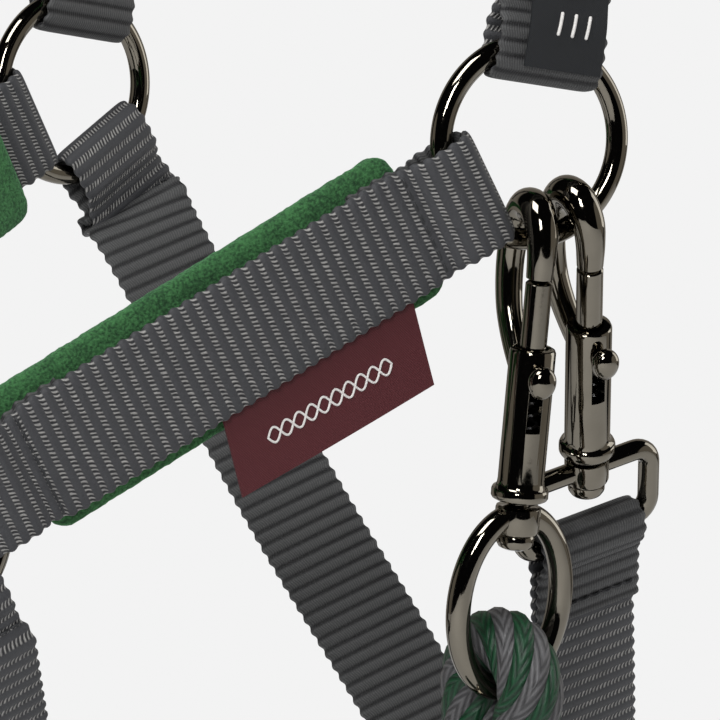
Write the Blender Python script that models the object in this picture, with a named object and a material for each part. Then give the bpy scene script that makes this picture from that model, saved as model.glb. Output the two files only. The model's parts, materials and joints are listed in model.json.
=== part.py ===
"""Padded webbing headcollar, with its throat snap and a lead rope clipped to the near throat ring.

Metres, +Z up. The horse faces -X and its near (left) side is -Y. The origin is where the
middle of the crown pad rests on the poll.
"""
import math

import bmesh
import bpy
from mathutils import Matrix, Vector

MM = 0.001
NEAR, FAR = -1, 1
SIDE_NAMES = {NEAR: "near", FAR: "far"}

# Webbing and padding.
WEB_WIDTH = 25 * MM
WEB_THICK = 2 * MM
GAP = 0.3 * MM
LAYER = (WEB_THICK + GAP) / 2
PAD_WIDTH = 32 * MM
PAD_THICK = 5 * MM
CROWN_PAD_WIDTH = 36 * MM
PAD_START = 27 * MM
CROWN_PAD_THICK = 6 * MM
LABEL_THICK = 0.6 * MM
SIZE_LABEL_WIDTH = 17 * MM
SIZE_LABEL_SHIFT = 2 * MM

# Round rings that the straps loop onto.
RING_RADIUS = 19.6 * MM
RING_BAR = 2.2 * MM
FOLD_CENTRE = 16.3 * MM
LOOP_WIDTH = 20 * MM
LOOP_GAP = 0.4 * MM
BAR_CLEAR = RING_RADIUS + RING_BAR + GAP
RING_FLAP = 40 * MM
TAPER = 5 * MM

# Where the rings are, for the near side; the far side mirrors Y.
THROAT_RING = Vector((-40, -85.5, -187)) * MM
NEAR_RING_TURN = math.radians(10)
FAR_THROAT_RING_TURN = math.radians(5)
CHEEK_LENGTH = 150 * MM
CHEEK_DROP = math.radians(27.6)
CHIN_RING = Vector((-132, 0, -323)) * MM
CHIN_OUTWARD = Vector((0.1, 0, -0.995))

# Crown: the straight upper strap, its buckle and the billet through it, as (along, outward).
UPPER_UP = Vector((0.18, 0.06, 0.98)).normalized()
HEEL_AT = 95 * MM
BUCKLE_LENGTH = 24 * MM
BUCKLE_HALF_WIDTH = 15.9 * MM
BUCKLE_BAR = 1.7 * MM
TONGUE_WIRE = 1.2 * MM
TONGUE_LIFT = BUCKLE_BAR + TONGUE_WIRE + 0.25 * MM
BILLET_OUT = LAYER + WEB_THICK + GAP
BILLET_OVER_HEEL = 5.8 * MM
BILLET_UNDER_BAR = -3.3 * MM
BILLET_END = 49 * MM
BILLET_TIP = 5.8 * MM
BILLET_AT_KEEPER = 4.6 * MM
KEEPER_AT = 60 * MM
KEEPER_WIDTH = 9 * MM
KEEPER_THICK = 1.5 * MM
KEEPER_CORNER = 1.6 * MM
BILLET_HOLES = (71 * MM, 83 * MM, 133 * MM, 145 * MM)
HOLE_RADIUS = 2 * MM
CROWN_TOP = 8.2 * MM

# Snap hooks. Down the barrel's axis, from the hook's inner top.
HOOK_REACH = 6 * MM
HOOK_BAR_AT = 2.6 * MM
HOOK_LINE = ((0, 9.2, 2.7), (0, 4, 3.0), (0.9, -0.6, 3.3), (4.1, -3.9, 3.5), (8.4, -3.8, 3.4),
             (11.8, 0, 3.1), (13.2, 6, 2.9), (13.2, 12, 2.8), (11.9, 18, 2.7), (9.2, 23, 2.6),
             (5.6, 27.5, 2.5), (2.6, 31, 2.2))
BARREL_TOP = 23.4 * MM
BARREL_END = 52.2 * MM
BARREL_RADIUS = 4.7 * MM
BORE_RADIUS = 3.1 * MM
BORE_END = 49.5 * MM
COLLAR_END = 54.8 * MM
COLLAR_RADIUS = 5.8 * MM
BOLT_RADIUS = 2.7 * MM
BOLT_TOP = 9.5 * MM
BOLT_END = 32.5 * MM
BOLT_TRAVEL = 10 * MM
STUD_AT = 28.7 * MM
STUD_RADIUS = 2.9 * MM
STUD_OUT = 6.3 * MM
STUD_NECK = 1.1 * MM
STUD_TURN = math.radians(8)
SLOT_HALF_WIDTH = 1.5 * MM
BOSS_TOP = 56.2 * MM
BOSS_END = 61.8 * MM
BOSS_RADIUS = 4.6 * MM
BOSS_BORE = 2.4 * MM
PIN_RADIUS = 2.1 * MM
PIN_HEAD_RADIUS = 3.8 * MM
PIN_END = 65.2 * MM
SPRING_RADIUS = 2.2 * MM
SPRING_WIRE = 0.4 * MM
SPRING_TURNS = 6

# Where each snap hangs on the near throat ring, and where its eye's lowest bar is.
LEAD_ON_RING = math.radians(-90)
THROAT_ON_RING = math.radians(-60)
LEAD_EYE_BAR = THROAT_RING + Vector((-1, 7.5, -111.5)) * MM
THROAT_EYE_BAR = THROAT_RING + Vector((29.6, 20, -84)) * MM
OVAL_HALF_WIDTH = 12.7 * MM
OVAL_BAR = 2.5 * MM
OVAL_TOP_AT = 58 * MM
FRAME_EYE_HALF_WIDTH = 15.4 * MM
FRAME_EYE_BAR = 2.2 * MM
FRAME_EYE_TOP_AT = 59 * MM
LASH_WIDTH_WAY = Vector((0.93, -0.15, 0.34))

# Throat lash: the route of its middle layer between the far ring and the near snap.
LASH_FAR_DOWN = Vector((0.53, 0, -0.848))
LASH_ROUTE = (Vector((-24, 76, -222)) * MM, Vector((-7.5, 49, -275)) * MM, Vector((5, 22, -316)) * MM,
              Vector((14, 4, -346)) * MM, Vector((16.5, -7, -352)) * MM, Vector((16.5, -23, -352)) * MM,
              Vector((14, -34, -346)) * MM, Vector((4, -47, -318)) * MM)
LASH_BOTTOM = Vector((16.5, -15, -352.5)) * MM
LASH_BACK = Vector((0.947, 0, 0.32))
LASH_DOWN = Vector((0.32, 0, -0.947))

# Lead rope.
ROPE_RADIUS = 7 * MM
ROPE_LOOP = OVAL_BAR + 0.4 * MM + ROPE_RADIUS
ROPE_LEG = 7.6 * MM
FERRULE_TOP_DROP = 11 * MM
FERRULE_SIZE = (8 * MM, 15.5 * MM, 13 * MM)
ROPE_DROP = 36 * MM
HANK_LOOP_RADIUS = 49 * MM
HANK_LOOP_AT = 73.5 * MM
HANK_WAIST = 30 * MM
HANK_HALF_DEPTH = 14.5 * MM
TIE_HEIGHT = 18 * MM
TIE_THICK = 2 * MM
ROPE_END_LENGTH = 20 * MM

TUBE_SIDES = 8
RING_STEPS = 26
TURNED_SIDES = 20
ARC_STEPS = 7


# ---- scene and materials ----

def clear_scene():
    for old in list(bpy.data.objects):
        bpy.data.objects.remove(old, do_unlink=True)


def principled(name, colour, roughness, metallic=0.0):
    material = bpy.data.materials.new(name)
    material.use_nodes = True
    shader = material.node_tree.nodes["Principled BSDF"]
    shader.inputs["Base Color"].default_value = (*colour, 1)
    shader.inputs["Roughness"].default_value = roughness
    shader.inputs["Metallic"].default_value = metallic
    return material


def webbing_grey():
    return principled("webbing_grey", (0.070, 0.070, 0.076), 0.75)


def plush_green():
    return principled("plush_green", (0.020, 0.150, 0.045), 0.95)


def gunmetal():
    return principled("gunmetal", (0.16, 0.15, 0.135), 0.18, 1.0)


def label_maroon():
    return principled("label_maroon", (0.080, 0.008, 0.012), 0.7)


def label_black():
    return principled("label_black", (0.010, 0.010, 0.011), 0.5)


def rope_green():
    return principled("rope_green", (0.010, 0.110, 0.045), 0.7)


def spring_steel():
    return principled("spring_steel", (0.45, 0.45, 0.45), 0.3, 1.0)


# ---- meshes ----

def add_object(name, mesh, material, smooth=True):
    mesh.materials.append(material)
    if smooth:
        mesh.shade_smooth()
        mesh.set_sharp_from_angle(angle=math.radians(40))
    thing = bpy.data.objects.new(name, mesh)
    bpy.context.collection.objects.link(thing)
    return thing


def loft(name, sections, material, closed=False, smooth=True, twisted=False):
    """Skin a list of equal-length outlines into one closed body. A twisted one is cut into flat triangles."""
    bm = bmesh.new()
    rows = [[bm.verts.new(p) for p in section] for section in sections]
    count = len(rows[0])
    pairs = list(zip(rows, rows[1:]))
    if closed:
        pairs.append((rows[-1], rows[0]))
    for low, high in pairs:
        for i in range(count):
            j = (i + 1) % count
            bm.faces.new((low[i], low[j], high[j], high[i]))
    if not closed:
        bm.faces.new(rows[0])
        bm.faces.new(rows[-1])
    if twisted:
        bmesh.ops.triangulate(bm, faces=bm.faces)
    bmesh.ops.recalc_face_normals(bm, faces=bm.faces)
    mesh = bpy.data.meshes.new(name)
    bm.to_mesh(mesh)
    bm.free()
    return add_object(name, mesh, material, smooth)


def circle(centre, across, up, radius, count=TUBE_SIDES):
    turn = 2 * math.pi / count
    return [centre + radius * (math.cos(i * turn) * across + math.sin(i * turn) * up) for i in range(count)]


def tangents(points, closed=False):
    last = len(points) - 1
    ways = []
    for i in range(len(points)):
        before = points[i - 1] if i > 0 or closed else points[0]
        after = points[(i + 1) % len(points)] if i < last or closed else points[last]
        ways.append((after - before).normalized())
    return ways


def tube(name, points, radii, material, side_way, closed=False, sides=TUBE_SIDES):
    """A round bar along points that lie in a plane whose normal is side_way."""
    sections = []
    for point, way, radius in zip(points, tangents(points, closed), radii):
        across = side_way.cross(way).normalized()
        sections.append(circle(point, across, way.cross(across), radius, sides))
    return loft(name, sections, material, closed)


def ribbon(name, stations, thick, material, closed=False):
    """A flat band through (point, width direction times width) stations."""
    points = [p for p, _ in stations]
    sections = []
    for (point, across), way in zip(stations, tangents(points, closed)):
        out = across.cross(way).normalized()
        half = way.cross(out) * across.length / 2
        up = out * thick / 2
        sections.append([point - half - up, point + half - up, point + half + up, point - half + up])
    return loft(name, sections, material, closed, twisted=True)


def turned(name, profile, origin, axis, material, sides=TURNED_SIDES):
    """A turned solid from (height, radius) pairs, capped at its first and last height."""
    across = axis.orthogonal().normalized()
    up = axis.cross(across)
    sections = [circle(origin + axis * h, across, up, r, sides) for h, r in profile]
    return loft(name, sections, material)


def block(name, centre, axes, half_sizes, material):
    a, b, c = [axis * half for axis, half in zip(axes, half_sizes)]
    outline = [-a - b, a - b, a + b, -a + b]
    sections = [[centre + p - c for p in outline], [centre + p + c for p in outline]]
    return loft(name, sections, material, smooth=False)


def boolean(target, helper, operation):
    modifier = target.modifiers.new(helper.name, "BOOLEAN")
    modifier.operation = operation
    modifier.object = helper
    modifier.solver = "EXACT"
    helper.hide_render = True
    helper.display_type = "WIRE"


def smooth_line(points, steps):
    """Catmull-Rom curve through the points."""
    padded = [2 * points[0] - points[1], *points, 2 * points[-1] - points[-2]]
    line = []
    for a, b, c, d in zip(padded, padded[1:], padded[2:], padded[3:]):
        for k in range(steps):
            t = k / steps
            line.append(0.5 * (2 * b + (c - a) * t + (2 * a - 5 * b + 4 * c - d) * t * t
                               + (3 * b - a - 3 * c + d) * t ** 3))
    line.append(points[-1])
    return line


def rounded_rectangle(centre, across, up, half_width, half_height, corner, steps=4):
    points = []
    corners = ((1, 1, 0), (-1, 1, 90), (-1, -1, 180), (1, -1, 270))
    for sx, sy, start in corners:
        middle = centre + across * sx * (half_width - corner) + up * sy * (half_height - corner)
        for k in range(steps + 1):
            angle = math.radians(start + 90 * k / steps)
            points.append(middle + corner * (math.cos(angle) * across + math.sin(angle) * up))
    return points


# ---- layout ----

def mirrored(vector, side):
    return Vector((vector.x, vector.y * -side, vector.z))


def turned_outward(turn, side):
    return Vector((-math.sin(turn), side * math.cos(turn), 0))


def cheek_way(side):
    level = math.cos(CHEEK_DROP)
    return Vector((-level * math.cos(NEAR_RING_TURN), -side * level * math.sin(NEAR_RING_TURN),
                   -math.sin(CHEEK_DROP)))


def throat_centre(side):
    return mirrored(THROAT_RING, side)


def throat_outward(side):
    return turned_outward(NEAR_RING_TURN if side == NEAR else FAR_THROAT_RING_TURN, side)


def nose_centre(side):
    return throat_centre(side) + cheek_way(side) * CHEEK_LENGTH


def nose_outward(side):
    return turned_outward(NEAR_RING_TURN, side)


def in_plane(way, normal):
    return (way - normal * way.dot(normal)).normalized()


# ---- straps ----

def loop_end(centre, way, outward, flap_side, ring=True, flap=RING_FLAP, bar=RING_BAR, depth=0):
    """Stations of a strap end: flap, fold round a bar and back, ending on the strap's main layer."""
    way = in_plane(way, outward)
    across = way.cross(outward)
    half = bar + LOOP_GAP + WEB_THICK / 2
    fold = FOLD_CENTRE if ring else -depth
    clear = BAR_CLEAR if ring else bar + GAP + depth
    merge = clear + 4 * MM
    arc = []
    for k in range(1, ARC_STEPS):
        angle = math.pi * k / ARC_STEPS
        arc.append((fold - half * math.sin(angle), half * math.cos(angle)))
    line = [(flap, LAYER), (merge + TAPER, LAYER), (merge, LAYER), (clear, half), (fold, half), *arc,
            (fold, -half), (clear, -half), (merge, -LAYER), (merge + TAPER, -LAYER)]
    stations = []
    for a, b in line:
        width = LOOP_WIDTH if a < merge + TAPER / 2 else WEB_WIDTH
        stations.append((centre + way * a + outward * flap_side * b, across * width))
    return stations


def blended(first, last, points):
    """Stations at points, their width directions turning evenly from one end's to the other's."""
    count = len(points) + 1
    return [(p, first.lerp(last, (i + 1) / count).normalized() * WEB_WIDTH) for i, p in enumerate(points)]


def lining(stations, middle, width, distance):
    """The stations of a pad that lies behind a strap's, on the side towards middle."""
    moved = []
    for (point, across), way in zip(stations, tangents([p for p, _ in stations])):
        out = across.cross(way).normalized()
        if out.dot(middle - point) < 0:
            out = -out
        moved.append((point + out * distance, across.normalized() * width))
    return moved


def looped_strap(name, start, points, end, material):
    end = [(p, -across) for p, across in reversed(end)]
    middle = blended(start[-1][1], end[0][1], points)
    return ribbon(name, [*start, *middle, *end], WEB_THICK, material)


def between(start, points, end, steps=3):
    """The points of a smooth curve from one loop's exit to the other's, without its ends."""
    return smooth_line([start[-1][0], *points, end[-1][0]], steps)[1:-1]


def make_ring(name, centre, outward, material):
    along = in_plane(Vector((0, 0, 1)) if abs(outward.z) < 0.9 else Vector((1, 0, 0)), outward)
    points = circle(centre, along, outward.cross(along), RING_RADIUS, RING_STEPS)
    return tube(name, points, [RING_BAR] * RING_STEPS, material, outward, closed=True)


def make_rings(material):
    for side, word in SIDE_NAMES.items():
        make_ring(f"throat_ring_{word}", throat_centre(side), throat_outward(side), material)
        make_ring(f"nose_ring_{word}", nose_centre(side), nose_outward(side), material)
    make_ring("chin_ring", CHIN_RING, CHIN_OUTWARD, material)


def make_cheek(side, web, plush):
    """The cheek strap, its loops turned inward, with the plush pad behind it."""
    word = SIDE_NAMES[side]
    way = cheek_way(side)
    start = loop_end(throat_centre(side), way, throat_outward(side), -1)
    end = loop_end(nose_centre(side), -way, nose_outward(side), -1)
    looped_strap(f"cheek_strap_{word}", start, between(start, [], end, 8), end, web)
    outward = nose_outward(side)
    inset = outward * -(LAYER + WEB_THICK / 2 + GAP + PAD_THICK / 2)
    across = way.cross(outward)
    first = throat_centre(side) + way * PAD_START + inset
    last = nose_centre(side) - way * PAD_START + inset
    steps = 6
    line = [(first.lerp(last, k / steps), across * PAD_WIDTH) for k in range(steps + 1)]
    ribbon(f"cheek_pad_{word}", line, PAD_THICK, plush)


def nose_up(side):
    """Along a nose ring's side, square to the cheek strap, towards the front of the nose."""
    across = cheek_way(side).cross(nose_outward(side))
    return across if across.z > 0 else -across


def make_noseband(web, plush):
    """The band over the nose between the two nose rings, and its pad."""
    start = loop_end(nose_centre(NEAR), nose_up(NEAR), nose_outward(NEAR), -1)
    end = loop_end(nose_centre(FAR), nose_up(FAR), nose_outward(FAR), -1)
    side_line = [Vector((-193, -53, -215)) * MM, Vector((-201, -31, -200)) * MM]
    route = [*side_line, Vector((-204, 0, -194)) * MM, *[mirrored(p, FAR) for p in reversed(side_line)]]
    line = between(start, route, end)
    looped_strap("noseband_strap", start, line, end, web)
    middle = (nose_centre(NEAR) + nose_centre(FAR)) / 2
    stations = blended(start[-1][1], -end[-1][1], line)
    drop = LAYER + WEB_THICK * 1.5 + GAP * 2 + PAD_THICK / 2
    ribbon("noseband_pad", lining(stations, middle, PAD_WIDTH, drop)[1:-1], PAD_THICK, plush)


def make_chin_straps(web):
    """Two short straps from the nose rings to the chin ring, and the jowl strap back to the lash."""
    for side, word in SIDE_NAMES.items():
        start = loop_end(nose_centre(side), -nose_up(side), nose_outward(side), -1, flap=33 * MM)
        end = loop_end(CHIN_RING, Vector((0, side, 0)), CHIN_OUTWARD, 1, flap=33 * MM)
        route = [Vector((-150, side * 58, -298)) * MM, Vector((-139, side * 45, -317)) * MM]
        looped_strap(f"chin_strap_{word}", start, between(start, route, end), end, web)
    back = CHIN_OUTWARD.cross(Vector((0, 1, 0)))
    back = back if back.x > 0 else -back
    start = loop_end(CHIN_RING, back, CHIN_OUTWARD, 1)
    end = loop_end(LASH_BOTTOM, -LASH_BACK, LASH_DOWN, 1, ring=False, flap=38 * MM,
                   bar=WEB_THICK + 1.2 * MM, depth=WEB_WIDTH / 2 + GAP)
    route = [Vector((-85, -4, -330)) * MM, Vector((-45, -12, -354)) * MM]
    looped_strap("jowl_strap", start, between(start, route, end), end, web)


# ---- crown, buckles and keepers ----

def upper_way(side):
    return mirrored(UPPER_UP, side)


def upper_outward(side):
    return in_plane(Vector((0, side, 0)), upper_way(side))


def on_upper(side, along, out):
    return throat_centre(side) + upper_way(side) * along + upper_outward(side) * out


def make_upper(side, web, metal):
    """The strap from a throat ring up to its buckle, with the buckle frame and tongue."""
    word = SIDE_NAMES[side]
    way, outward = upper_way(side), upper_outward(side)
    across = way.cross(outward)
    heel = on_upper(side, HEEL_AT, 0)
    start = loop_end(throat_centre(side), way, throat_outward(side), 1)
    end = loop_end(heel, -way, outward, 1, ring=False, flap=25 * MM, bar=BUCKLE_BAR)
    strap = looped_strap(f"upper_strap_{word}", start, between(start, [], end, 5), end, web)
    slot = block(f"tongue_slot_{word}", heel, (across, outward, way), (2.4 * MM, 7 * MM, 6 * MM), web)
    boolean(strap, slot, "DIFFERENCE")

    middle = heel + way * BUCKLE_LENGTH / 2
    frame = rounded_rectangle(middle, across, way, BUCKLE_HALF_WIDTH, BUCKLE_LENGTH / 2, 3.5 * MM)
    tube(f"buckle_frame_{word}", frame, [BUCKLE_BAR] * len(frame), metal, outward, closed=True)
    line = []
    for degrees in range(330, 89, -30):
        angle = math.radians(degrees)
        line.append(heel + TONGUE_LIFT * (math.cos(angle) * way + math.sin(angle) * outward))
    line += [heel + way * a + outward * TONGUE_LIFT for a in (8 * MM, 16 * MM, 27 * MM)]
    tube(f"buckle_tongue_{word}", line, [TONGUE_WIRE] * len(line), metal, across, sides=8)

    low, high = -LAYER - WEB_THICK / 2 - 1.5 * MM, BILLET_AT_KEEPER + WEB_THICK / 2 + 3 * GAP
    half_depth = (high - low + KEEPER_THICK) / 2
    centre = on_upper(side, KEEPER_AT, (low + high) / 2)
    half_width = WEB_WIDTH / 2 + GAP + KEEPER_THICK
    loop = rounded_rectangle(centre, across, outward, half_width, half_depth, KEEPER_CORNER, 3)
    ribbon(f"keeper_{word}", [(p, way * KEEPER_WIDTH) for p in loop], KEEPER_THICK, web, closed=True)


def billet(side):
    """The crown strap's stations from its tip, through the buckle, to above the buckle."""
    line = ((BILLET_END, BILLET_TIP), (KEEPER_AT, BILLET_AT_KEEPER), (71 * MM, BILLET_OUT),
            (84 * MM, BILLET_OUT), (89 * MM, 4.8 * MM), (95 * MM, BILLET_OVER_HEEL),
            (99 * MM, 4.9 * MM), (107 * MM, 1 * MM), (114 * MM, -2.4 * MM), (119 * MM, BILLET_UNDER_BAR),
            (128 * MM, BILLET_UNDER_BAR), (150 * MM, BILLET_UNDER_BAR))
    across = upper_way(side).cross(upper_outward(side))
    return [(on_upper(side, a, b), across * WEB_WIDTH) for a, b in line]


def crown_arch():
    """The strap's middle line over the poll, from the near buckle to the far one."""
    half = [Vector((-8, -61, -25)) * MM, Vector((-4, -46, -8.5)) * MM, Vector((-1.5, -27, 3)) * MM]
    top = [Vector((0, y * MM, CROWN_TOP)) for y in (-9, 9)]
    return half, top, [mirrored(p, FAR) for p in reversed(half)]


def make_crown(web, plush):
    """One strap over the poll with both billets, and the pad under it, flat in the middle."""
    near, far = billet(NEAR), [(p, -across) for p, across in reversed(billet(FAR))]
    half, top, other = crown_arch()
    level = Vector((WEB_WIDTH, 0, 0))
    arch = [*blended(near[-1][1], level, half), *[(p, level) for p in top], *blended(level, far[0][1], other)]
    strap = ribbon("crown_strap", [*near, *arch, *far], WEB_THICK, web)
    for side, word in SIDE_NAMES.items():
        way, outward = upper_way(side), upper_outward(side)
        across = way.cross(outward)
        slot = block(f"billet_slot_{word}", on_upper(side, 102.5 * MM, 0), (across, outward, way),
                     (1.9 * MM, 9 * MM, 7.5 * MM), web)
        boolean(strap, slot, "DIFFERENCE")
        for number, along in enumerate(BILLET_HOLES):
            base = on_upper(side, along, -9 * MM)
            hole = turned(f"billet_hole_{word}_{number}", ((0, HOLE_RADIUS), (18 * MM, HOLE_RADIUS)),
                          base, outward, web, 10)
            boolean(strap, hole, "DIFFERENCE")
    middle = throat_centre(NEAR).lerp(throat_centre(FAR), 0.5)
    drop = CROWN_PAD_THICK / 2 + WEB_THICK / 2 + 4 * GAP
    stations = lining(arch, middle, CROWN_PAD_WIDTH, drop)
    for index in (len(half), len(half) + 1):
        y = arch[index][0].y
        stations[index] = (Vector((0, y, CROWN_PAD_THICK / 2)), Vector((CROWN_PAD_WIDTH, 0, 0)))
    ribbon("crown_pad", stations, CROWN_PAD_THICK, plush)


def make_labels(maroon, black):
    """A maroon tab under the near cheek strap, and a black size tab over the near upper strap."""
    way, outward = cheek_way(NEAR), nose_outward(NEAR)
    across = way.cross(outward)
    down = across if across.z < 0 else -across
    behind = -(WEB_THICK / 2 + GAP + LABEL_THICK / 2) + LAYER
    top = throat_centre(NEAR) + outward * behind + down * (WEB_WIDTH / 2 - 4 * MM)
    middle = top + way * 65 * MM + down * 9.5 * MM
    block("side_label", middle, (way, down, outward), (23.2 * MM, 9.5 * MM, LABEL_THICK / 2), maroon)

    outward = throat_outward(NEAR)
    way = in_plane(UPPER_UP, outward)
    across = way.cross(outward)
    shift = across * (SIZE_LABEL_SHIFT if across.x > 0 else -SIZE_LABEL_SHIFT)
    out = RING_BAR + LOOP_GAP + WEB_THICK + GAP + LABEL_THICK / 2
    line = [(14 * MM, out), (BAR_CLEAR + 0.5 * MM, out), (27 * MM, out - 1.6 * MM), (44 * MM, out - 1.6 * MM)]
    corner = throat_centre(NEAR) + shift
    frame = [(corner + way * a + outward * b, across * SIZE_LABEL_WIDTH) for a, b in line]
    ribbon("size_label", frame, LABEL_THICK, black)


# ---- snap hooks ----

class Snap:
    """Axes of a snap hook: down its barrel, across towards its spine, and the hook plane's normal."""

    def __init__(self, name, ring_angle, eye_bar):
        self.name = name
        outward = throat_outward(NEAR)
        level = Vector((math.cos(NEAR_RING_TURN), -math.sin(NEAR_RING_TURN), 0))
        up = Vector((0, 0, 1))
        bar = THROAT_RING + RING_RADIUS * (math.cos(ring_angle) * level + math.sin(ring_angle) * up)
        span = eye_bar - bar
        length = math.sqrt(span.length_squared - HOOK_REACH ** 2)
        straight = span.normalized()
        tangent = in_plane(-math.sin(ring_angle) * level + math.cos(ring_angle) * up, straight)
        inward = straight.cross(tangent)
        if inward.dot(outward) > 0:
            inward = -inward
        lean = math.atan(HOOK_REACH / length)
        self.down = straight * math.cos(lean) + inward * math.sin(lean)
        self.inward = inward * math.cos(lean) - straight * math.sin(lean)
        self.side = self.down.cross(self.inward)
        self.bar = bar
        self.eye_at = length + HOOK_BAR_AT
        self.top = bar - self.inward * HOOK_REACH - self.down * HOOK_BAR_AT

    def at(self, along, inward=0.0, side=0.0):
        return self.top + self.down * along + self.inward * inward + self.side * side


def make_snap_body(snap, metal):
    """The hook and barrel, one casting, with the bolt's bore and the stud's slot."""
    profile = ((COLLAR_END, COLLAR_RADIUS - 0.6 * MM), (COLLAR_END - 0.6 * MM, COLLAR_RADIUS),
               (BARREL_END + 0.4 * MM, COLLAR_RADIUS), (BARREL_END, BARREL_RADIUS + 0.4 * MM),
               (BARREL_END - 1.5 * MM, BARREL_RADIUS), (BARREL_TOP + 1 * MM, BARREL_RADIUS),
               (BARREL_TOP, BARREL_RADIUS - 0.8 * MM))
    body = turned(f"{snap.name}_body", profile, snap.top, snap.down, metal)
    points = smooth_line([snap.at(u * MM, p * MM) for p, u, _ in HOOK_LINE], 2)
    radii = [v.x for v in smooth_line([Vector((r * MM, 0, 0)) for _, _, r in HOOK_LINE], 2)]
    hook = tube(f"{snap.name}_hook", points, radii, metal, snap.side)
    boolean(body, hook, "UNION")
    bore = turned(f"{snap.name}_bore", ((BARREL_TOP - 2 * MM, BORE_RADIUS), (BORE_END, BORE_RADIUS)),
                  snap.top, snap.down, metal)
    boolean(body, bore, "DIFFERENCE")
    low, high = STUD_AT - SLOT_HALF_WIDTH, STUD_AT + BOLT_TRAVEL + SLOT_HALF_WIDTH
    slot = block(f"{snap.name}_slot", snap.at((low + high) / 2, 0) + stud_way(snap) * 5 * MM,
                 (snap.down.cross(stud_way(snap)), stud_way(snap), snap.down),
                 (SLOT_HALF_WIDTH, 4 * MM, (high - low) / 2), metal)
    boolean(body, slot, "DIFFERENCE")


def stud_way(snap):
    """The thumb stud stands out away from the spine, turned a little towards the horse's nose."""
    toward_nose = snap.side if snap.side.x < 0 else -snap.side
    return math.cos(STUD_TURN) * -snap.inward + math.sin(STUD_TURN) * toward_nose


def make_bolt(snap, metal):
    """The sliding bolt with its thumb stud."""
    profile = ((BOLT_TOP, BOLT_RADIUS * 0.55), (BOLT_TOP + 0.8 * MM, BOLT_RADIUS), (BOLT_END, BOLT_RADIUS))
    bolt = turned(f"{snap.name}_bolt", profile, snap.top, snap.down, metal, 16)
    base = snap.at(STUD_AT)
    profile = ((0, STUD_NECK), (5.0 * MM, STUD_NECK), (5.2 * MM, STUD_RADIUS * 0.8),
               (STUD_OUT, STUD_RADIUS), (STUD_OUT + 1.5 * MM, STUD_RADIUS * 0.9),
               (STUD_OUT + 2.6 * MM, STUD_RADIUS * 0.45))
    stud = turned(f"{snap.name}_stud", profile, base, stud_way(snap), metal, 14)
    boolean(bolt, stud, "UNION")


def make_spring(snap, steel):
    """The coil spring between the bolt and the floor of the bore."""
    steps = 8 * SPRING_TURNS
    low, high = BOLT_END + SPRING_WIRE + GAP, BORE_END - SPRING_WIRE - GAP
    points = []
    for i in range(steps + 1):
        angle = 2 * math.pi * SPRING_TURNS * i / steps
        points.append(snap.at(low + (high - low) * i / steps, SPRING_RADIUS * math.cos(angle),
                              SPRING_RADIUS * math.sin(angle)))
    sections = []
    for point, way in zip(points, tangents(points)):
        across = snap.down.cross(way).normalized()
        sections.append(circle(point, across, way.cross(across), SPRING_WIRE, 4))
    loft(f"{snap.name}_spring", sections, steel)


def make_swivel_pin(snap, metal):
    head = BOSS_END + GAP
    profile = ((COLLAR_END + GAP, PIN_RADIUS), (head, PIN_RADIUS), (head, PIN_HEAD_RADIUS),
               (PIN_END - 0.6 * MM, PIN_HEAD_RADIUS), (PIN_END, PIN_HEAD_RADIUS - 0.7 * MM))
    turned(f"{snap.name}_pin", profile, snap.top, snap.down, metal)


def make_eye(snap, across, outline, bar, metal):
    """An eye bar with the boss that turns on the swivel pin."""
    eye = tube(f"{snap.name}_eye", outline, [bar] * len(outline), metal, across.cross(snap.down), closed=True)
    profile = ((BOSS_TOP, BOSS_RADIUS - 0.5 * MM), (BOSS_TOP + 0.6 * MM, BOSS_RADIUS),
               (BOSS_END - 0.5 * MM, BOSS_RADIUS), (BOSS_END, BOSS_RADIUS - 0.4 * MM))
    boolean(eye, turned(f"{snap.name}_boss", profile, snap.top, snap.down, metal), "UNION")
    hole = ((BOSS_TOP - 5 * MM, BOSS_BORE), (BOSS_END + 3 * MM, BOSS_BORE))
    boolean(eye, turned(f"{snap.name}_boss_bore", hole, snap.top, snap.down, metal), "DIFFERENCE")


def oval(snap, across):
    half = (snap.eye_at - OVAL_TOP_AT) / 2
    centre = snap.at(OVAL_TOP_AT + half)
    steps = 28
    points = []
    for i in range(steps):
        angle = 2 * math.pi * i / steps
        out, along = OVAL_HALF_WIDTH * math.cos(angle), half * math.sin(angle)
        points.append(centre + across * out + snap.down * along)
    return points


def make_snap(snap, metal, steel):
    make_snap_body(snap, metal)
    make_bolt(snap, metal)
    make_spring(snap, steel)
    make_swivel_pin(snap, metal)


def make_throat_lash(snap, across, web):
    """The strap from the far ring, under the jaw, to the throat snap's eye."""
    start = loop_end(throat_centre(FAR), LASH_FAR_DOWN, throat_outward(FAR), -1)
    outward = across.cross(snap.down)
    outward = outward if outward.dot(throat_outward(NEAR)) > 0 else -outward
    end = loop_end(snap.at(snap.eye_at), snap.down, outward, 1, ring=False, flap=19 * MM, bar=FRAME_EYE_BAR)
    looped_strap("throat_lash", start, between(start, LASH_ROUTE, end, 2), end, web)


# ---- lead rope ----

def rope_curve(name, points, material):
    curve = bpy.data.curves.new(name, "CURVE")
    curve.dimensions = "3D"
    curve.bevel_depth = ROPE_RADIUS
    curve.bevel_resolution = 2
    curve.use_fill_caps = True
    spline = curve.splines.new("POLY")
    spline.points.add(len(points) - 1)
    for slot, point in zip(spline.points, points):
        slot.co = (*point, 1)
    curve.materials.append(material)
    rope = bpy.data.objects.new(name, curve)
    bpy.context.collection.objects.link(rope)
    return rope


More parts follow.
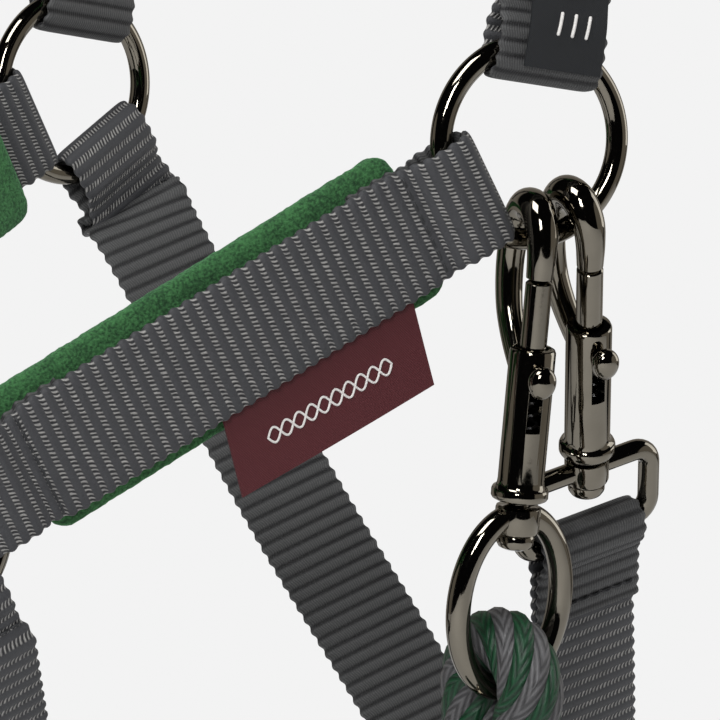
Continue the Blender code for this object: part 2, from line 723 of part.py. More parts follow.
def hank_outline():
    """A loop at each end of the hank and a waist where the tie gathers its runs, as (across, up)."""
    quarter, steps = [], 6
    for k in range(1, steps + 1):
        share = k / steps
        width = HANK_WAIST + (HANK_LOOP_RADIUS - HANK_WAIST) * (1 - math.cos(math.pi * share)) / 2
        quarter.append((width, HANK_LOOP_AT * share))
    for k in range(1, steps + 1):
        angle = math.pi / 2 * k / steps
        a, b = HANK_LOOP_RADIUS * math.cos(angle), HANK_LOOP_RADIUS * math.sin(angle)
        quarter.append((a, HANK_LOOP_AT + b))
    right = [(a, -b) for a, b in reversed(quarter)] + [(HANK_WAIST, 0)] + quarter
    return right + [(-a, b) for a, b in reversed(right[1:-1])]


def make_rope(snap, across, rope, metal):
    """The rope's eye over the snap's oval, the ferrule that closes it, the drop, and the tied hank."""
    bar = snap.at(snap.eye_at)
    sideways = across.cross(snap.down)
    arc = [(ROPE_LOOP * math.cos(math.pi * k / 8), -ROPE_LOOP * math.sin(math.pi * k / 8)) for k in range(9)]
    ends = [(ROPE_LEG, FERRULE_TOP_DROP - GAP), (ROPE_LEG, FERRULE_TOP_DROP - 4 * MM)]
    legs = [*ends, *arc, *[(-a, b) for a, b in reversed(ends)]]
    rope_curve("rope_eye", [bar + sideways * a + snap.down * b for a, b in legs], rope)
    half = FERRULE_SIZE[2] / 2
    middle = bar + snap.down * (FERRULE_TOP_DROP + half)
    ferrule = block("rope_ferrule", middle, (across, sideways, snap.down),
                    (FERRULE_SIZE[0], FERRULE_SIZE[1], half), metal)
    bevel = ferrule.modifiers.new("edges", "BEVEL")
    bevel.width = 2 * MM
    bevel.segments = 2
    start = bar + snap.down * (FERRULE_TOP_DROP + 2 * half + GAP)
    bend = start + snap.down * ROPE_DROP / 3
    end = Vector((bend.x, bend.y, start.z - ROPE_DROP))
    rope_curve("rope_drop", [start, bend, bend.lerp(end, 0.5), end], rope)

    x, y, z = Vector((1, 0, 0)), Vector((0, 1, 0)), Vector((0, 0, 1))
    half_length = HANK_LOOP_AT + HANK_LOOP_RADIUS
    centre = end - z * (GAP + half_length)
    depth = y * HANK_HALF_DEPTH
    outline = [centre + x * a + z * b for a, b in hank_outline()]
    loft("rope_hank", [[p - depth for p in outline], [p + depth for p in outline]], rope)
    room = GAP + TIE_THICK
    tie = rounded_rectangle(centre, x, y, HANK_WAIST + room, HANK_HALF_DEPTH + room, 1.2 * MM, 2)
    ribbon("rope_tie", [(p, z * TIE_HEIGHT) for p in tie], TIE_THICK, rope, closed=True)
    foot_top = centre - z * (half_length + GAP)
    profile = ((0, ROPE_RADIUS), (ROPE_END_LENGTH - 4 * MM, ROPE_RADIUS + 1 * MM),
               (ROPE_END_LENGTH, ROPE_RADIUS - 2 * MM))
    turned("rope_end", profile, foot_top, -z, rope, 14)


# ---- joints ----

def pivot(name, point, pieces, parent=None):
    """An empty on a joint's axis, which holds the pieces that move with it."""
    empty = bpy.data.objects.new(name, None)
    empty.matrix_world = Matrix.Translation(point)
    bpy.context.collection.objects.link(empty)
    for piece in [bpy.data.objects[piece_name] for piece_name in pieces]:
        piece.parent = empty
        piece.matrix_parent_inverse = Matrix.Translation(-point)
    if parent is not None:
        empty.parent = parent
        empty.matrix_parent_inverse = parent.matrix_world.inverted()
    return empty


def make_pivots(lead, throat):
    """The lead snap swings on the ring, each bolt slides, the lead's eye turns, and so do both tongues."""
    swing = pivot("lead_snap_pivot", lead.bar, [f"lead_snap_{part}" for part in ("body", "pin", "spring")])
    throat_parts = [f"throat_snap_{part}" for part in ("body", "pin", "spring")]
    turn = pivot("throat_snap_pivot", throat.at(BOSS_TOP), throat_parts)
    pivot("lead_bolt_slide", lead.at(BOLT_END), ["lead_snap_bolt"], swing)
    pivot("throat_bolt_slide", throat.at(BOLT_END), ["throat_snap_bolt"], turn)
    rope = [f"rope_{part}" for part in ("eye", "ferrule", "drop", "hank", "tie", "end")]
    pivot("lead_eye_swivel", lead.at(BOSS_TOP), ["lead_snap_eye", *rope], swing)
    for side, word in SIDE_NAMES.items():
        pivot(f"{word}_tongue_pivot", on_upper(side, HEEL_AT, 0), [f"buckle_tongue_{word}"])


def main():
    clear_scene()
    web, plush, metal = webbing_grey(), plush_green(), gunmetal()
    make_rings(metal)
    for side in (NEAR, FAR):
        make_cheek(side, web, plush)
        make_upper(side, web, metal)
    make_noseband(web, plush)
    make_chin_straps(web)
    make_crown(web, plush)
    make_labels(label_maroon(), label_black())

    steel = spring_steel()
    lead = Snap("lead_snap", LEAD_ON_RING, LEAD_EYE_BAR)
    throat = Snap("throat_snap", THROAT_ON_RING, THROAT_EYE_BAR)
    make_snap(lead, metal, steel)
    make_snap(throat, metal, steel)
    lead_across = in_plane(Vector((1, 0, 0)), lead.down)
    make_eye(lead, lead_across, oval(lead, lead_across), OVAL_BAR, metal)
    across = in_plane(LASH_WIDTH_WAY, throat.down)
    half = (throat.eye_at - FRAME_EYE_TOP_AT) / 2
    middle = throat.at(FRAME_EYE_TOP_AT + half)
    frame = rounded_rectangle(middle, across, throat.down, FRAME_EYE_HALF_WIDTH, half, 4 * MM)
    make_eye(throat, across, frame, FRAME_EYE_BAR, metal)
    make_throat_lash(throat, across, web)
    make_rope(lead, lead_across, rope_green(), metal)
    make_pivots(lead, throat)


main()
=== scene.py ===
"""The looks of a padded webbing headcollar with two bolt snaps and a two-colour lead rope.

Metres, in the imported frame. The horse faces -X and its near side is -Y.
"""
import json
import math

import bmesh
import bpy
import numpy as np
from mathutils import Matrix, Vector, noise


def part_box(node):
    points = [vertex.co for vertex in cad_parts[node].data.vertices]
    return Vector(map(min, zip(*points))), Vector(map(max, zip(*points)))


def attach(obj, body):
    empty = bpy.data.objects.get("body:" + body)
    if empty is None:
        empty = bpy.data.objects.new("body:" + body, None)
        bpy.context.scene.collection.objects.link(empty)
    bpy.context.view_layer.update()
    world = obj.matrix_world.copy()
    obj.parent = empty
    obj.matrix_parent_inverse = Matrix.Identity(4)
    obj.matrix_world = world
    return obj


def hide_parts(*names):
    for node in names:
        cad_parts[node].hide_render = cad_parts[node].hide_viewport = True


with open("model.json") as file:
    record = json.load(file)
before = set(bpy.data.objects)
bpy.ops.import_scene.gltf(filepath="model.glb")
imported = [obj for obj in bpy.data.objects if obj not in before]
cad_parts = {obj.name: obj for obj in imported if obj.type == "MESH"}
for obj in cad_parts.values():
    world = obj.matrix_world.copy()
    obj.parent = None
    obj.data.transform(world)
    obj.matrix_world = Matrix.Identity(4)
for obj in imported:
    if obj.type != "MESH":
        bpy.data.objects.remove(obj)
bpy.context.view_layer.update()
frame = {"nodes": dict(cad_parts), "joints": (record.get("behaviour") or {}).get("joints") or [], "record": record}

MM = 0.001
NEAR, FAR = -1, 1
SIDE_NAMES = {NEAR: "near", FAR: "far"}
X, Y, Z = Vector((1, 0, 0)), Vector((0, 1, 0)), Vector((0, 0, 1))

# Webbing. One rib is RIB_PITCH long and one slanted float FLOAT_PITCH wide.
WEB_WIDTH = 25 * MM
WEB_THICK = 2 * MM
GAP = 0.3 * MM
LAYER = (WEB_THICK + GAP) / 2
RIB_PITCH = 3.05 * MM
FLOAT_PITCH = 0.94 * MM
STEPS_PER_RIB = 8
OUTER_BASE, OUTER_RIB = 0.78 * MM, 0.26 * MM
INNER_BASE, INNER_RIB = 0.62 * MM, 0.40 * MM
EDGE_SCALLOP = 0.28 * MM
INNER_FACE_SHIFT = 100

# Loops round the rings.
RING_RADIUS = 19.6 * MM
RING_BAR = 2.2 * MM
FOLD_CENTRE = 15.6 * MM
LOOP_WIDTH = 22.4 * MM
WIDE_LOOP = 23.6 * MM
CHEEK_SHIFT = 2.8 * MM
LOOP_GAP = 0.4 * MM
BAR_CLEAR = RING_RADIUS + RING_BAR + GAP
RING_FLAP = 40 * MM
TAPER = 5 * MM
LOOP_STEPS = 16
STITCH_AT = 28.6 * MM
STITCH_RISE = 1.9 * MM
STITCH_HIGH_RISE = 2.0 * MM
STITCH_TOP_RISE = 2.1 * MM
STITCH_HALF_WIDTH = 11 * MM
CHIN_FLAP = 33 * MM

# The throat lash, under the jaw.
LASH_FAR_DOWN = Vector((0.53, 0, -0.848))
LASH_ROUTE = ((-24, 76, -222), (-7.5, 49, -275), (5, 22, -316), (14, 4, -346), (16.5, -7, -352),
              (16.5, -23, -352), (14, -34, -346), (4, -47, -318))
LASH_BOTTOM = Vector((16.5, -15, -352.5)) * MM
LASH_BACK = Vector((0.947, 0, 0.32))
LASH_DOWN = Vector((0.32, 0, -0.947))
LASH_WIDTH_WAY = Vector((0.93, -0.15, 0.34))
NEAR_RING_TURN = math.radians(10)
FAR_THROAT_RING_TURN = math.radians(5)
THROAT_HOOK_TURN = math.radians(-60)
CHIN_OUTWARD = Vector((0.1, 0, -0.995))

# Pads.
PAD_WIDTH = 32 * MM
PAD_THICK = 5 * MM
PAD_START = 27 * MM
CROWN_PAD_WIDTH = 36 * MM
CROWN_PAD_THICK = 6 * MM
PILE_HEIGHT = 0.2 * MM
PAD_STEP, PAD_SIDES, PAD_CORNER, PAD_EDGE = 0.9 * MM, 64, 4.5 * MM, 2.2 * MM

# Buckles, billets and keepers, along and out from each upper strap.
HEEL_AT = 95 * MM
BUCKLE_LENGTH = 24 * MM
BUCKLE_HALF_WIDTH = 15.9 * MM
BUCKLE_BAR = 1.7 * MM
BUCKLE_CORNER = 3.5 * MM
TONGUE_WIRE = 1.2 * MM
TONGUE_LIFT = BUCKLE_BAR + TONGUE_WIRE + 0.25 * MM
BILLET_OUT = LAYER + WEB_THICK + GAP
BILLET_LINE = ((49, 5.8), (60, 4.6), (71, BILLET_OUT / MM), (84, BILLET_OUT / MM), (89, 4.8), (95, 5.8),
               (99, 4.9), (107, 1), (114, -2.4), (119, -3.3), (128, -3.3), (150, -3.3))
BILLET_HOLES = (71 * MM, 83 * MM, 133 * MM, 145 * MM)
BILLET_SLOT_AT = 102.5 * MM
BILLET_SLOT_HALF = (1.9 * MM, 9 * MM, 7.5 * MM)
BILLET_HOLE_RADIUS = 2 * MM
UPPER_SLOT_HALF = (2.4 * MM, 7 * MM, 6 * MM)
KEEPER_AT = 60 * MM
KEEPER_WIDTH = 9 * MM
KEEPER_THICK = 1.5 * MM
KEEPER_TOP = 6.5 * MM
KEEPER_CORNER = 1.8 * MM
CROWN_TOP = 8.2 * MM

# Snap hooks, in millimetres down the barrel from the hook's inner top.
HOOK_LINE = ((0, 9.2, 2.7), (0, 4, 3.0), (0.9, -0.6, 3.3), (4.1, -3.9, 3.5), (8.4, -3.8, 3.4),
             (11.8, 0, 3.1), (13.2, 6, 2.9), (13.2, 12, 2.8), (11.9, 18, 2.7), (9.2, 23, 2.6),
             (5.6, 27.5, 2.5), (2.6, 31, 2.2))
BARREL_TOP, BARREL_END, BARREL_RADIUS = 23.4 * MM, 52.2 * MM, 4.7 * MM
BORE_RADIUS, BORE_END = 3.1 * MM, 49.5 * MM
COLLAR_END, COLLAR_RADIUS = 54.8 * MM, 5.8 * MM
BOLT_RADIUS, BOLT_TOP, BOLT_END, BOLT_TRAVEL = 2.7 * MM, 9.5 * MM, 32.5 * MM, 10 * MM
STUD_AT, STUD_OUT, STUD_NECK = 28.7 * MM, 6.3 * MM, 1.1 * MM
STUD_HALF = (2.9 * MM, 3.3 * MM, 2.3 * MM)
STUD_TURN = math.radians(8)
SLOT_HALF_WIDTH = 1.5 * MM
BOSS_TOP, BOSS_END, BOSS_RADIUS, BOSS_BORE = 56.2 * MM, 61.8 * MM, 4.6 * MM, 2.4 * MM
PIN_RADIUS, PIN_HEAD_RADIUS, PIN_END = 2.1 * MM, 3.8 * MM, 65.2 * MM
OVAL_HALF_WIDTH, OVAL_BAR, OVAL_TOP_AT = 12.7 * MM, 2.5 * MM, 58 * MM
FRAME_EYE_HALF_WIDTH, FRAME_EYE_BAR, FRAME_EYE_TOP_AT = 15.4 * MM, 2.2 * MM, 59 * MM

# Lead rope.
ROPE_RADIUS = 7 * MM
ROPE_LOOP = OVAL_BAR + 0.4 * MM + ROPE_RADIUS
FERRULE_TOP_DROP = 11 * MM
FERRULE_SIZE = (8 * MM, 15.5 * MM, 13 * MM)
ROPE_DROP = 36 * MM
HANK_LOOP_AT = 73.5 * MM
HANK_HALF_LENGTH = 122.5 * MM
HANK_BUNDLE_RADIUS = 35 * MM
HANK_BUNDLE_WAIST = 15 * MM
HANK_SPREAD = 10.1 * MM
HANK_TURNS = 3.5
STRAND_COUNT = 8
STRAND_LAY = 44 * MM
STRAND_CENTRE = 4.85 * MM
STRAND_HALF_WIDTH = 2.35 * MM
STRAND_HALF_THICK = 1.95 * MM
STRAND_STEP = 1.25 * MM
STRAND_SIDES = 10
WHIPPING_LENGTH, WHIPPING_TURNS, WHIPPING_PITCH = 13 * MM, 15, 0.9 * MM
TIE_HALF_SIZE, TIE_CORNER, TIE_WIDTH = (30.6 * MM, 15.4 * MM), 7 * MM, 18 * MM
ROPE_LEG = 7.6 * MM
FERRULE_CORNER, FERRULE_ROWS = 6.6 * MM, 33
ENTRY_ROUTE = ((-1, -1, 147), (-4, -4, 133), (-13, -7, 119))
LEAVING_ROUTE = ((-13, 7, -119), (-4, 4, -130), (-1, 1, -142))
HANK_START, HANK_STEPS, HANK_MOVE = 0.085, 190, (0.72, 0.26)

# Camera: where it stands from the near throat ring, in its own right, up and forward directions.
CAMERA_RIGHT = Vector((0.819, -0.574, 0)).normalized()
CAMERA_FORWARD = Vector((0.569, 0.813, -0.122)).normalized()
CAMERA_UP = CAMERA_RIGHT.cross(CAMERA_FORWARD)
CAMERA_DISTANCE = 1.2
CAMERA_OFFSET = (34.56 * MM, 43.63 * MM)
CAMERA_LENS = 301.2
BACKGROUND = 0.896
OUTLINE_STEPS = 120

# Darkest and lightest colour of each surface, in linear light.
WEB_BAND = ((0.013, 0.014, 0.016), (0.058, 0.059, 0.065))
WEB_FLOAT_GAP = (0.010, 0.010, 0.012)
WEB_FLOAT = ((0.13, 0.128, 0.125), (0.40, 0.39, 0.37))
# Inner ribs: a near-black painted shade for the grooves, and painted light on the rib tops that varies with the
# yarn.
WEB_GROOVE_SHADE = (0.006, 0.006, 0.007)
WEB_LIT_CREST = ((0.030, 0.031, 0.032), (0.105, 0.104, 0.102))
PLUSH = ((0.007, 0.040, 0.011), (0.040, 0.150, 0.045))
NICKEL = ((0.165, 0.150, 0.122), (0.215, 0.196, 0.160))
STEEL = ((0.10, 0.10, 0.10), (0.18, 0.18, 0.18))
# Each rope colour runs from painted shade, between the yarns, to painted light on the yarn tops.
ROPE_GREEN = ((0.0005, 0.008, 0.003), (0.002, 0.055, 0.018))
ROPE_GREY = ((0.008, 0.008, 0.009), (0.110, 0.108, 0.111))
DARK_THREAD = ((0.004, 0.004, 0.005), (0.025, 0.027, 0.030))
CREAM_THREAD = ((0.50, 0.48, 0.46), (0.80, 0.78, 0.75))
MAROON = ((0.045, 0.003, 0.006), (0.095, 0.009, 0.013))
BLACK = ((0.004, 0.005, 0.006), (0.013, 0.015, 0.018))

# Each soft panel's name, (right, up, back) offset, size and energy.
LIGHTS = (("key", (-0.55, 1.25, 0.65), (0.7, 0.7), 15), ("strip_left", (-0.30, 0.42, 1.25), (0.10, 0.55), 5),
          ("strip_right", (-0.12, 0.42, 1.25), (0.06, 0.45), 4), ("rim", (0.95, 0.35, -0.5), (0.5, 0.9), 3))
FLOOR_HALF, FLOOR_DROP, FLOOR_FADE = 1.2, 20 * MM, (0.3, 1.1)


# ---- places from the frame ----

def middle(node):
    low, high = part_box(node)
    return (low + high) / 2


JOINTS = {joint["name"]: joint for joint in frame["joints"]}
SLOT_OF = {part["node"]: part["material_slot"] for part in frame["record"]["subparts"]}
BODY_OF = {node: body for body, nodes in frame["record"]["behaviour"]["bodies"].items() for node in nodes}
THROAT = {side: middle(f"throat_ring_{word}") for side, word in SIDE_NAMES.items()}
NOSE = {side: middle(f"nose_ring_{word}") for side, word in SIDE_NAMES.items()}
CHIN = middle("chin_ring")
HEEL = {side: Vector(JOINTS[f"{word}_tongue_turn"]["pos_m"]) for side, word in SIDE_NAMES.items()}
LOWEST = min(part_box(node)[0].z for node in frame["nodes"])


def mm(*place):
    return Vector(place) * MM


def on_circle(angle, level, upright):
    return math.cos(angle) * level + math.sin(angle) * upright


def circle(steps, level, upright):
    return [on_circle(2 * math.pi * k / steps, level, upright) for k in range(steps)]


def facing(way, target):
    return way if way.dot(target) > 0 else -way


def in_plane(way, normal):
    return (way - normal * way.dot(normal)).normalized()


def turned_outward(turn, side):
    return Vector((-math.sin(turn), side * math.cos(turn), 0))


def throat_outward(side):
    return turned_outward(NEAR_RING_TURN if side == NEAR else FAR_THROAT_RING_TURN, side)


def nose_outward(side):
    return turned_outward(NEAR_RING_TURN, side)


def cheek_way(side):
    return (NOSE[side] - THROAT[side]).normalized()


def nose_up(side):
    """Along a nose ring's side, square to the cheek strap, towards the front of the nose."""
    return facing(cheek_way(side).cross(nose_outward(side)), Z)


def cheek_low(side):
    """Across the cheek strap, towards its lower edge."""
    return -nose_up(side)


def cheek_end(side, centre):
    """The near cheek strap's loops have slid a little down their rings."""
    return centre + cheek_low(side) * CHEEK_SHIFT if side == NEAR else centre


def upper_way(side):
    return (HEEL[side] - THROAT[side]).normalized()


def upper_outward(side):
    return in_plane(Y * side, upper_way(side))


def on_upper(side, along, out):
    return THROAT[side] + upper_way(side) * along + upper_outward(side) * out


def mirrored(point):
    return Vector((point.x, -point.y, point.z))


class Snap:
    """Axes of a snap hook: down its barrel, in towards its spine, and square to both."""

    def __init__(self, name, bar, eye_body):
        self.name = name
        self.down = Vector(JOINTS[f"{name.replace('_snap', '')}_bolt_slide"]["axis"]).normalized()
        self.top = Vector(JOINTS[eye_body]["pos_m"]) - self.down * BOSS_TOP
        self.inward = in_plane(bar - self.top, self.down)
        self.side = self.down.cross(self.inward)

    def at(self, along, inward=0.0, side=0.0):
        return self.top + self.down * along + self.inward * inward + self.side * side


def throat_bar():
    """Where the throat snap's hook passes round the near ring."""
    level = Vector((math.cos(NEAR_RING_TURN), -math.sin(NEAR_RING_TURN), 0))
    return THROAT[NEAR] + on_circle(THROAT_HOOK_TURN, level, Z) * RING_RADIUS


LEAD = Snap("lead_snap", Vector(JOINTS["lead_snap_swing"]["pos_m"]), "lead_eye_swivel")
THROAT_SNAP = Snap("throat_snap", throat_bar(), "throat_snap_swivel")


# ---- node trees ----

class Tree:
    """Short ways to add and join shader nodes."""

    def __init__(self, node_tree):
        self.nodes, self.links = node_tree.nodes, node_tree.links

    def put(self, socket, value):
        if isinstance(value, bpy.types.NodeSocket):
            self.links.new(value, socket)
        elif isinstance(value, tuple) and len(value) == 3 and socket.type == "RGBA":
            socket.default_value = (*value, 1)
        else:
            socket.default_value = value

    def node(self, kind, **inputs):
        made = self.nodes.new(kind)
        for name, value in inputs.items():
            self.put(made.inputs[name.replace("_", " ")], value)
        return made

    def place(self):
        return self.nodes.new("ShaderNodeTexCoord").outputs["Object"]

    def math(self, operation, *values):
        made = self.nodes.new("ShaderNodeMath")
        made.operation = operation
        for socket, value in zip(made.inputs, values):
            self.put(socket, value)
        return made.outputs[0]

    def add(self, first, second):
        return self.math("ADD", first, second)

    def less(self, first, second):
        return self.math("SUBTRACT", first, second)

    def times(self, first, second):
        return self.math("MULTIPLY", first, second)

    def vector(self, operation, *values):
        made = self.nodes.new("ShaderNodeVectorMath")
        made.operation = operation
        for socket, value in zip(made.inputs, values):
            self.put(socket, value)
        return made.outputs["Value" if operation in ("DOT_PRODUCT", "LENGTH") else "Vector"]

    def step(self, value, low, high):
        """0 below low, 1 above high, and smooth between."""
        made = self.nodes.new("ShaderNodeMapRange")
        made.interpolation_type = "SMOOTHSTEP"
        for name, given in (("Value", value), ("From Min", low), ("From Max", high)):
            self.put(made.inputs[name], given)
        return made.outputs[0]

    def mix(self, share, first, second):
        made = self.nodes.new("ShaderNodeMix")
        made.data_type = "RGBA"
        for socket, value in ((0, share), (6, first), (7, second)):
            self.put(made.inputs[socket], value)
        return made.outputs[2]

    def noise(self, vector, scale, detail=2.0):
        return self.node("ShaderNodeTexNoise", Vector=vector, Scale=scale, Detail=detail).outputs["Fac"]

    def zigzag(self, value):
        """1 at whole numbers and 0 half way between."""
        return self.math("ABSOLUTE", self.less(self.times(self.math("FRACT", value), 2.0), 1.0))


def new_material(name, roughness, metallic=0.0, sheen=0.0):
    material = bpy.data.materials.new(name)
    material.use_nodes = True
    shader = material.node_tree.nodes["Principled BSDF"]
    shader.inputs["Roughness"].default_value = roughness
    shader.inputs["Metallic"].default_value = metallic
    shader.inputs["Sheen Weight"].default_value = sheen
    return material, Tree(material.node_tree), shader


def add_bump(tree, shader, height, distance, strength=1.0):
    bump = tree.node("ShaderNodeBump", Height=height, Distance=distance, Strength=strength)
    tree.links.new(bump.outputs[0], shader.inputs["Normal"])


def weave_uv(tree):
    uv = tree.nodes.new("ShaderNodeUVMap")
    uv.uv_map = "weave"
    split = tree.nodes.new("ShaderNodeSeparateXYZ")
    tree.links.new(uv.outputs[0], split.inputs[0])
    return uv.outputs[0], split.outputs[0], split.outputs[1]


def webbing_material():
    """Grey webbing: rows of slanted floats between smooth bands outside, round ribs inside with painted shade in
    their grooves and painted light on their tops.
    """
    material, tree, shader = new_material("grey_webbing", 0.62, sheen=0.06)
    uv, along, across = weave_uv(tree)
    inner = tree.math("GREATER_THAN", across, INNER_FACE_SHIFT / 2)
    phase = tree.math("FRACT", along)
    row = tree.times(tree.step(phase, 0.50, 0.60), tree.less(1.0, tree.step(phase, 0.90, 0.99)))
    wobble = tree.times(tree.noise(uv, 1.3, 1.0), 0.5)
    slanted = tree.add(tree.add(across, tree.times(phase, -1.5)), wobble)
    strand = tree.step(tree.zigzag(slanted), 0.25, 0.85)
    grain = tree.noise(tree.vector("MULTIPLY", uv, (2.2, 5.0, 1.0)), 1.6, 3.0)
    row_colour = tree.mix(strand, WEB_FLOAT_GAP, tree.mix(tree.noise(uv, 0.6), *WEB_FLOAT))
    outer_colour = tree.mix(row, tree.mix(grain, *WEB_BAND), row_colour)

    # Inside, painted shade darkens each groove between ribs and painted light brightens each rib top.
    crest = tree.math("ABSOLUTE", tree.math("SINE", tree.times(phase, math.pi)))
    yarn = tree.zigzag(tree.times(across, 1.6))
    lit_crest_colour = tree.mix(tree.times(yarn, grain), *WEB_LIT_CREST)
    inner_colour = tree.mix(tree.step(crest, 0.15, 0.85), WEB_GROOVE_SHADE, lit_crest_colour)
    tree.links.new(tree.mix(inner, outer_colour, inner_colour), shader.inputs["Base Color"])

    outer_height = tree.add(tree.times(row, strand), tree.times(grain, 0.5))
    inner_height = tree.add(tree.times(yarn, 0.3), tree.times(grain, 0.4))
    height = tree.add(tree.times(tree.less(1.0, inner), outer_height), tree.times(inner, inner_height))
    add_bump(tree, shader, height, 0.22 * MM)
    return material


def plush_material():
    """Deep green pile, in soft tufts."""
    material, tree, shader = new_material("green_plush", 0.95, sheen=0.25)
    shader.inputs["Sheen Roughness"].default_value = 0.5
    shader.inputs["Sheen Tint"].default_value = (0.35, 0.9, 0.45, 1)
    place = tree.place()
    tufts = tree.noise(place, 1700.0, 3.0)
    shade = tree.add(tree.times(tufts, 0.75), tree.times(tree.noise(place, 160.0), 0.25))
    tree.links.new(tree.mix(tree.step(shade, 0.32, 0.68), *PLUSH), shader.inputs["Base Color"])
    add_bump(tree, shader, tufts, 0.35 * MM)
    return material


def nickel_material():
    """Polished dark nickel, faintly cloudy."""
    material, tree, shader = new_material("dark_nickel", 0.07, metallic=1.0)
    place = tree.place()
    cloud = tree.noise(place, 160.0, 3.0)
    tree.links.new(tree.mix(cloud, *NICKEL), shader.inputs["Base Color"])
    scuff = tree.times(tree.step(tree.noise(place, 1400.0), 0.4, 0.8), 0.06)
    tree.links.new(tree.add(0.045, scuff), shader.inputs["Roughness"])
    add_bump(tree, shader, cloud, 0.02 * MM)
    return material


def speckled_material(name, colours, scale, roughness, metallic=0.0, sheen=0.0, bump=0.0):
    """A colour that wavers in fine specks, which a bump raises where it is given."""
    material, tree, shader = new_material(name, roughness, metallic, sheen)
    specks = tree.noise(tree.place(), scale)
    tree.links.new(tree.mix(specks, *colours), shader.inputs["Base Color"])
    if bump:
        add_bump(tree, shader, specks, bump)
    return material


def thread_material(name, colours):
    return speckled_material(name, colours, 2600.0, 0.55, sheen=0.1, bump=0.1 * MM)


def rope_material(name, colours):
    """Shiny yarns that slant both ways from each strand's middle, like its own small plait."""
    material, tree, shader = new_material(name, 0.5)
    uv, along, around = weave_uv(tree)
    slant = tree.math("ABSOLUTE", tree.less(tree.times(tree.math("FRACT", around), 2.0), 0.5))
    yarn = tree.zigzag(tree.add(tree.times(along, 0.42), tree.times(slant, 5.0)))
    fibres = tree.noise(tree.vector("MULTIPLY", uv, (0.9, 26.0, 1.0)), 1.5, 3.0)
    # The dark between yarns is painted shade and the yarn tops are painted light; the fibre noise is the yarns'
    # own uneven tone.
    shade = tree.add(tree.times(tree.step(yarn, 0.1, 0.9), 0.55), tree.times(fibres, 0.55))
    tree.links.new(tree.mix(shade, *colours), shader.inputs["Base Color"])
    add_bump(tree, shader, tree.add(tree.times(yarn, 0.6), tree.times(fibres, 0.5)), 0.30 * MM)
    return material


def label_material(name, colours, threads):
    """Fine diagonal weave of a woven label."""
    material, tree, shader = new_material(name, 0.7)
    uv, along, across = weave_uv(tree)
    diagonal = tree.zigzag(tree.add(tree.times(along, threads), tree.times(across, threads * 0.6)))
    shade = tree.add(tree.times(diagonal, 0.6), tree.times(tree.noise(uv, 2.5, 3.0), 0.4))
    tree.links.new(tree.mix(shade, *colours), shader.inputs["Base Color"])
    add_bump(tree, shader, diagonal, 0.05 * MM)
    return material


# ---- meshes ----

CAP_SHARES = (0.35, 0.75, 0.95)


def add_piece(name, mesh, materials, body, slot, nodes=()):
    for material in materials:
        mesh.materials.append(material)
    piece = bpy.data.objects.new(name, mesh)
    bpy.context.scene.collection.objects.link(piece)
    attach(piece, body)
    if nodes:
        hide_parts(*nodes)
    return piece


def dress(node, look, mesh, material):
    """Shows a mesh in place of a CAD node, on the node's own body."""
    return add_piece(f"{node}_{look}", mesh, [material], BODY_OF[node], SLOT_OF[node], [node])


def skin(name, rings, closed=False, uv=None):
    """A mesh through equal rings of points. uv holds each ring's u, and v where each side starts and ends."""
    count, sides = rings.shape[:2]
    along, starts, ends = uv if uv else (np.zeros(count + 1), np.zeros(sides), np.zeros(sides))
    faces, table = [], []
    for i in range(count if closed else count - 1):
        after = (i + 1) % count
        for j in range(sides):
            k = (j + 1) % sides
            faces.append((i * sides + j, i * sides + k, after * sides + k, after * sides + j))
            u, v = along[i:i + 2], (starts[j], ends[j])
            table += [(u[0], v[0]), (u[0], v[1]), (u[1], v[1]), (u[1], v[0])]
    if not closed:
        for ring, order in ((0, reversed(range(sides))), (count - 1, range(sides))):
            order = list(order)
            faces.append(tuple(ring * sides + j for j in order))
            table += [(along[ring], min(starts[j], ends[j - 1])) for j in order]
    mesh = bpy.data.meshes.new(name)
    mesh.from_pydata(rings.reshape(-1, 3).tolist(), [], faces)
    if uv:
        mesh.uv_layers.new(name="weave").data.foreach_set("uv", np.array(table).ravel())
    turn_outward(mesh)
    return mesh


def ovals(centres, side, out, half_width, half_height, sides):
    """Rings round centres, an oval each, in the plane of the ways side and out."""
    angles = np.linspace(0, 2 * np.pi, sides, endpoint=False)
    level, upright = np.cos(angles)[None, :, None], np.sin(angles)[None, :, None]
    return centres[:, None] + half_width * level * side[:, None] + half_height * upright * out[:, None]


def turn_outward(mesh):
    bm = bmesh.new()
    bm.from_mesh(mesh)
    bmesh.ops.recalc_face_normals(bm, faces=bm.faces)
    bm.to_mesh(mesh)
    bm.free()
    mesh.shade_smooth()
    mesh.update()


def as_array(points):
    return np.array([tuple(p) for p in points], float)


def unit(rows):
    return rows / np.maximum(np.linalg.norm(rows, axis=-1, keepdims=True), 1e-12)


def smooth_line(points, steps):
    """Catmull-Rom curve through the points."""
    padded = [2 * points[0] - points[1], *points, 2 * points[-1] - points[-2]]
    line = []
    for a, b, c, d in zip(padded, padded[1:], padded[2:], padded[3:]):
        for k in range(steps):
            t = k / steps
            line.append(0.5 * (2 * b + (c - a) * t + (2 * a - 5 * b + 4 * c - d) * t * t
                               + (3 * b - a - 3 * c + d) * t ** 3))
    line.append(points[-1])
    return line


def evenly(points, values, step, closed=False):
    """The line through points at even steps of about that length, its values there, and each distance."""
    if closed:
        points, values = np.vstack([points, points[:1]]), np.vstack([values, values[:1]])
    lengths = distances(points)
    count = max(2, int(round(lengths[-1] / step)))
    at = np.linspace(0, lengths[-1], count + 1)
    if closed:
        at = at[:-1]
    table = np.array([np.interp(at, lengths, column) for column in np.hstack([points, values]).T]).T
    return table[:, :points.shape[1]], table[:, points.shape[1]:], at


def even_stations(stations, step, closed=False):
    return evenly(as_array([p for p, _ in stations]), as_array([a for _, a in stations]), step, closed)


def even_points(points, step, closed=False):
    points = as_array(points)
    return evenly(points, np.zeros((len(points), 1)), step, closed)[0]


def distances(points):
    return np.concatenate([[0], np.cumsum(np.linalg.norm(np.diff(points, axis=0), axis=1))])


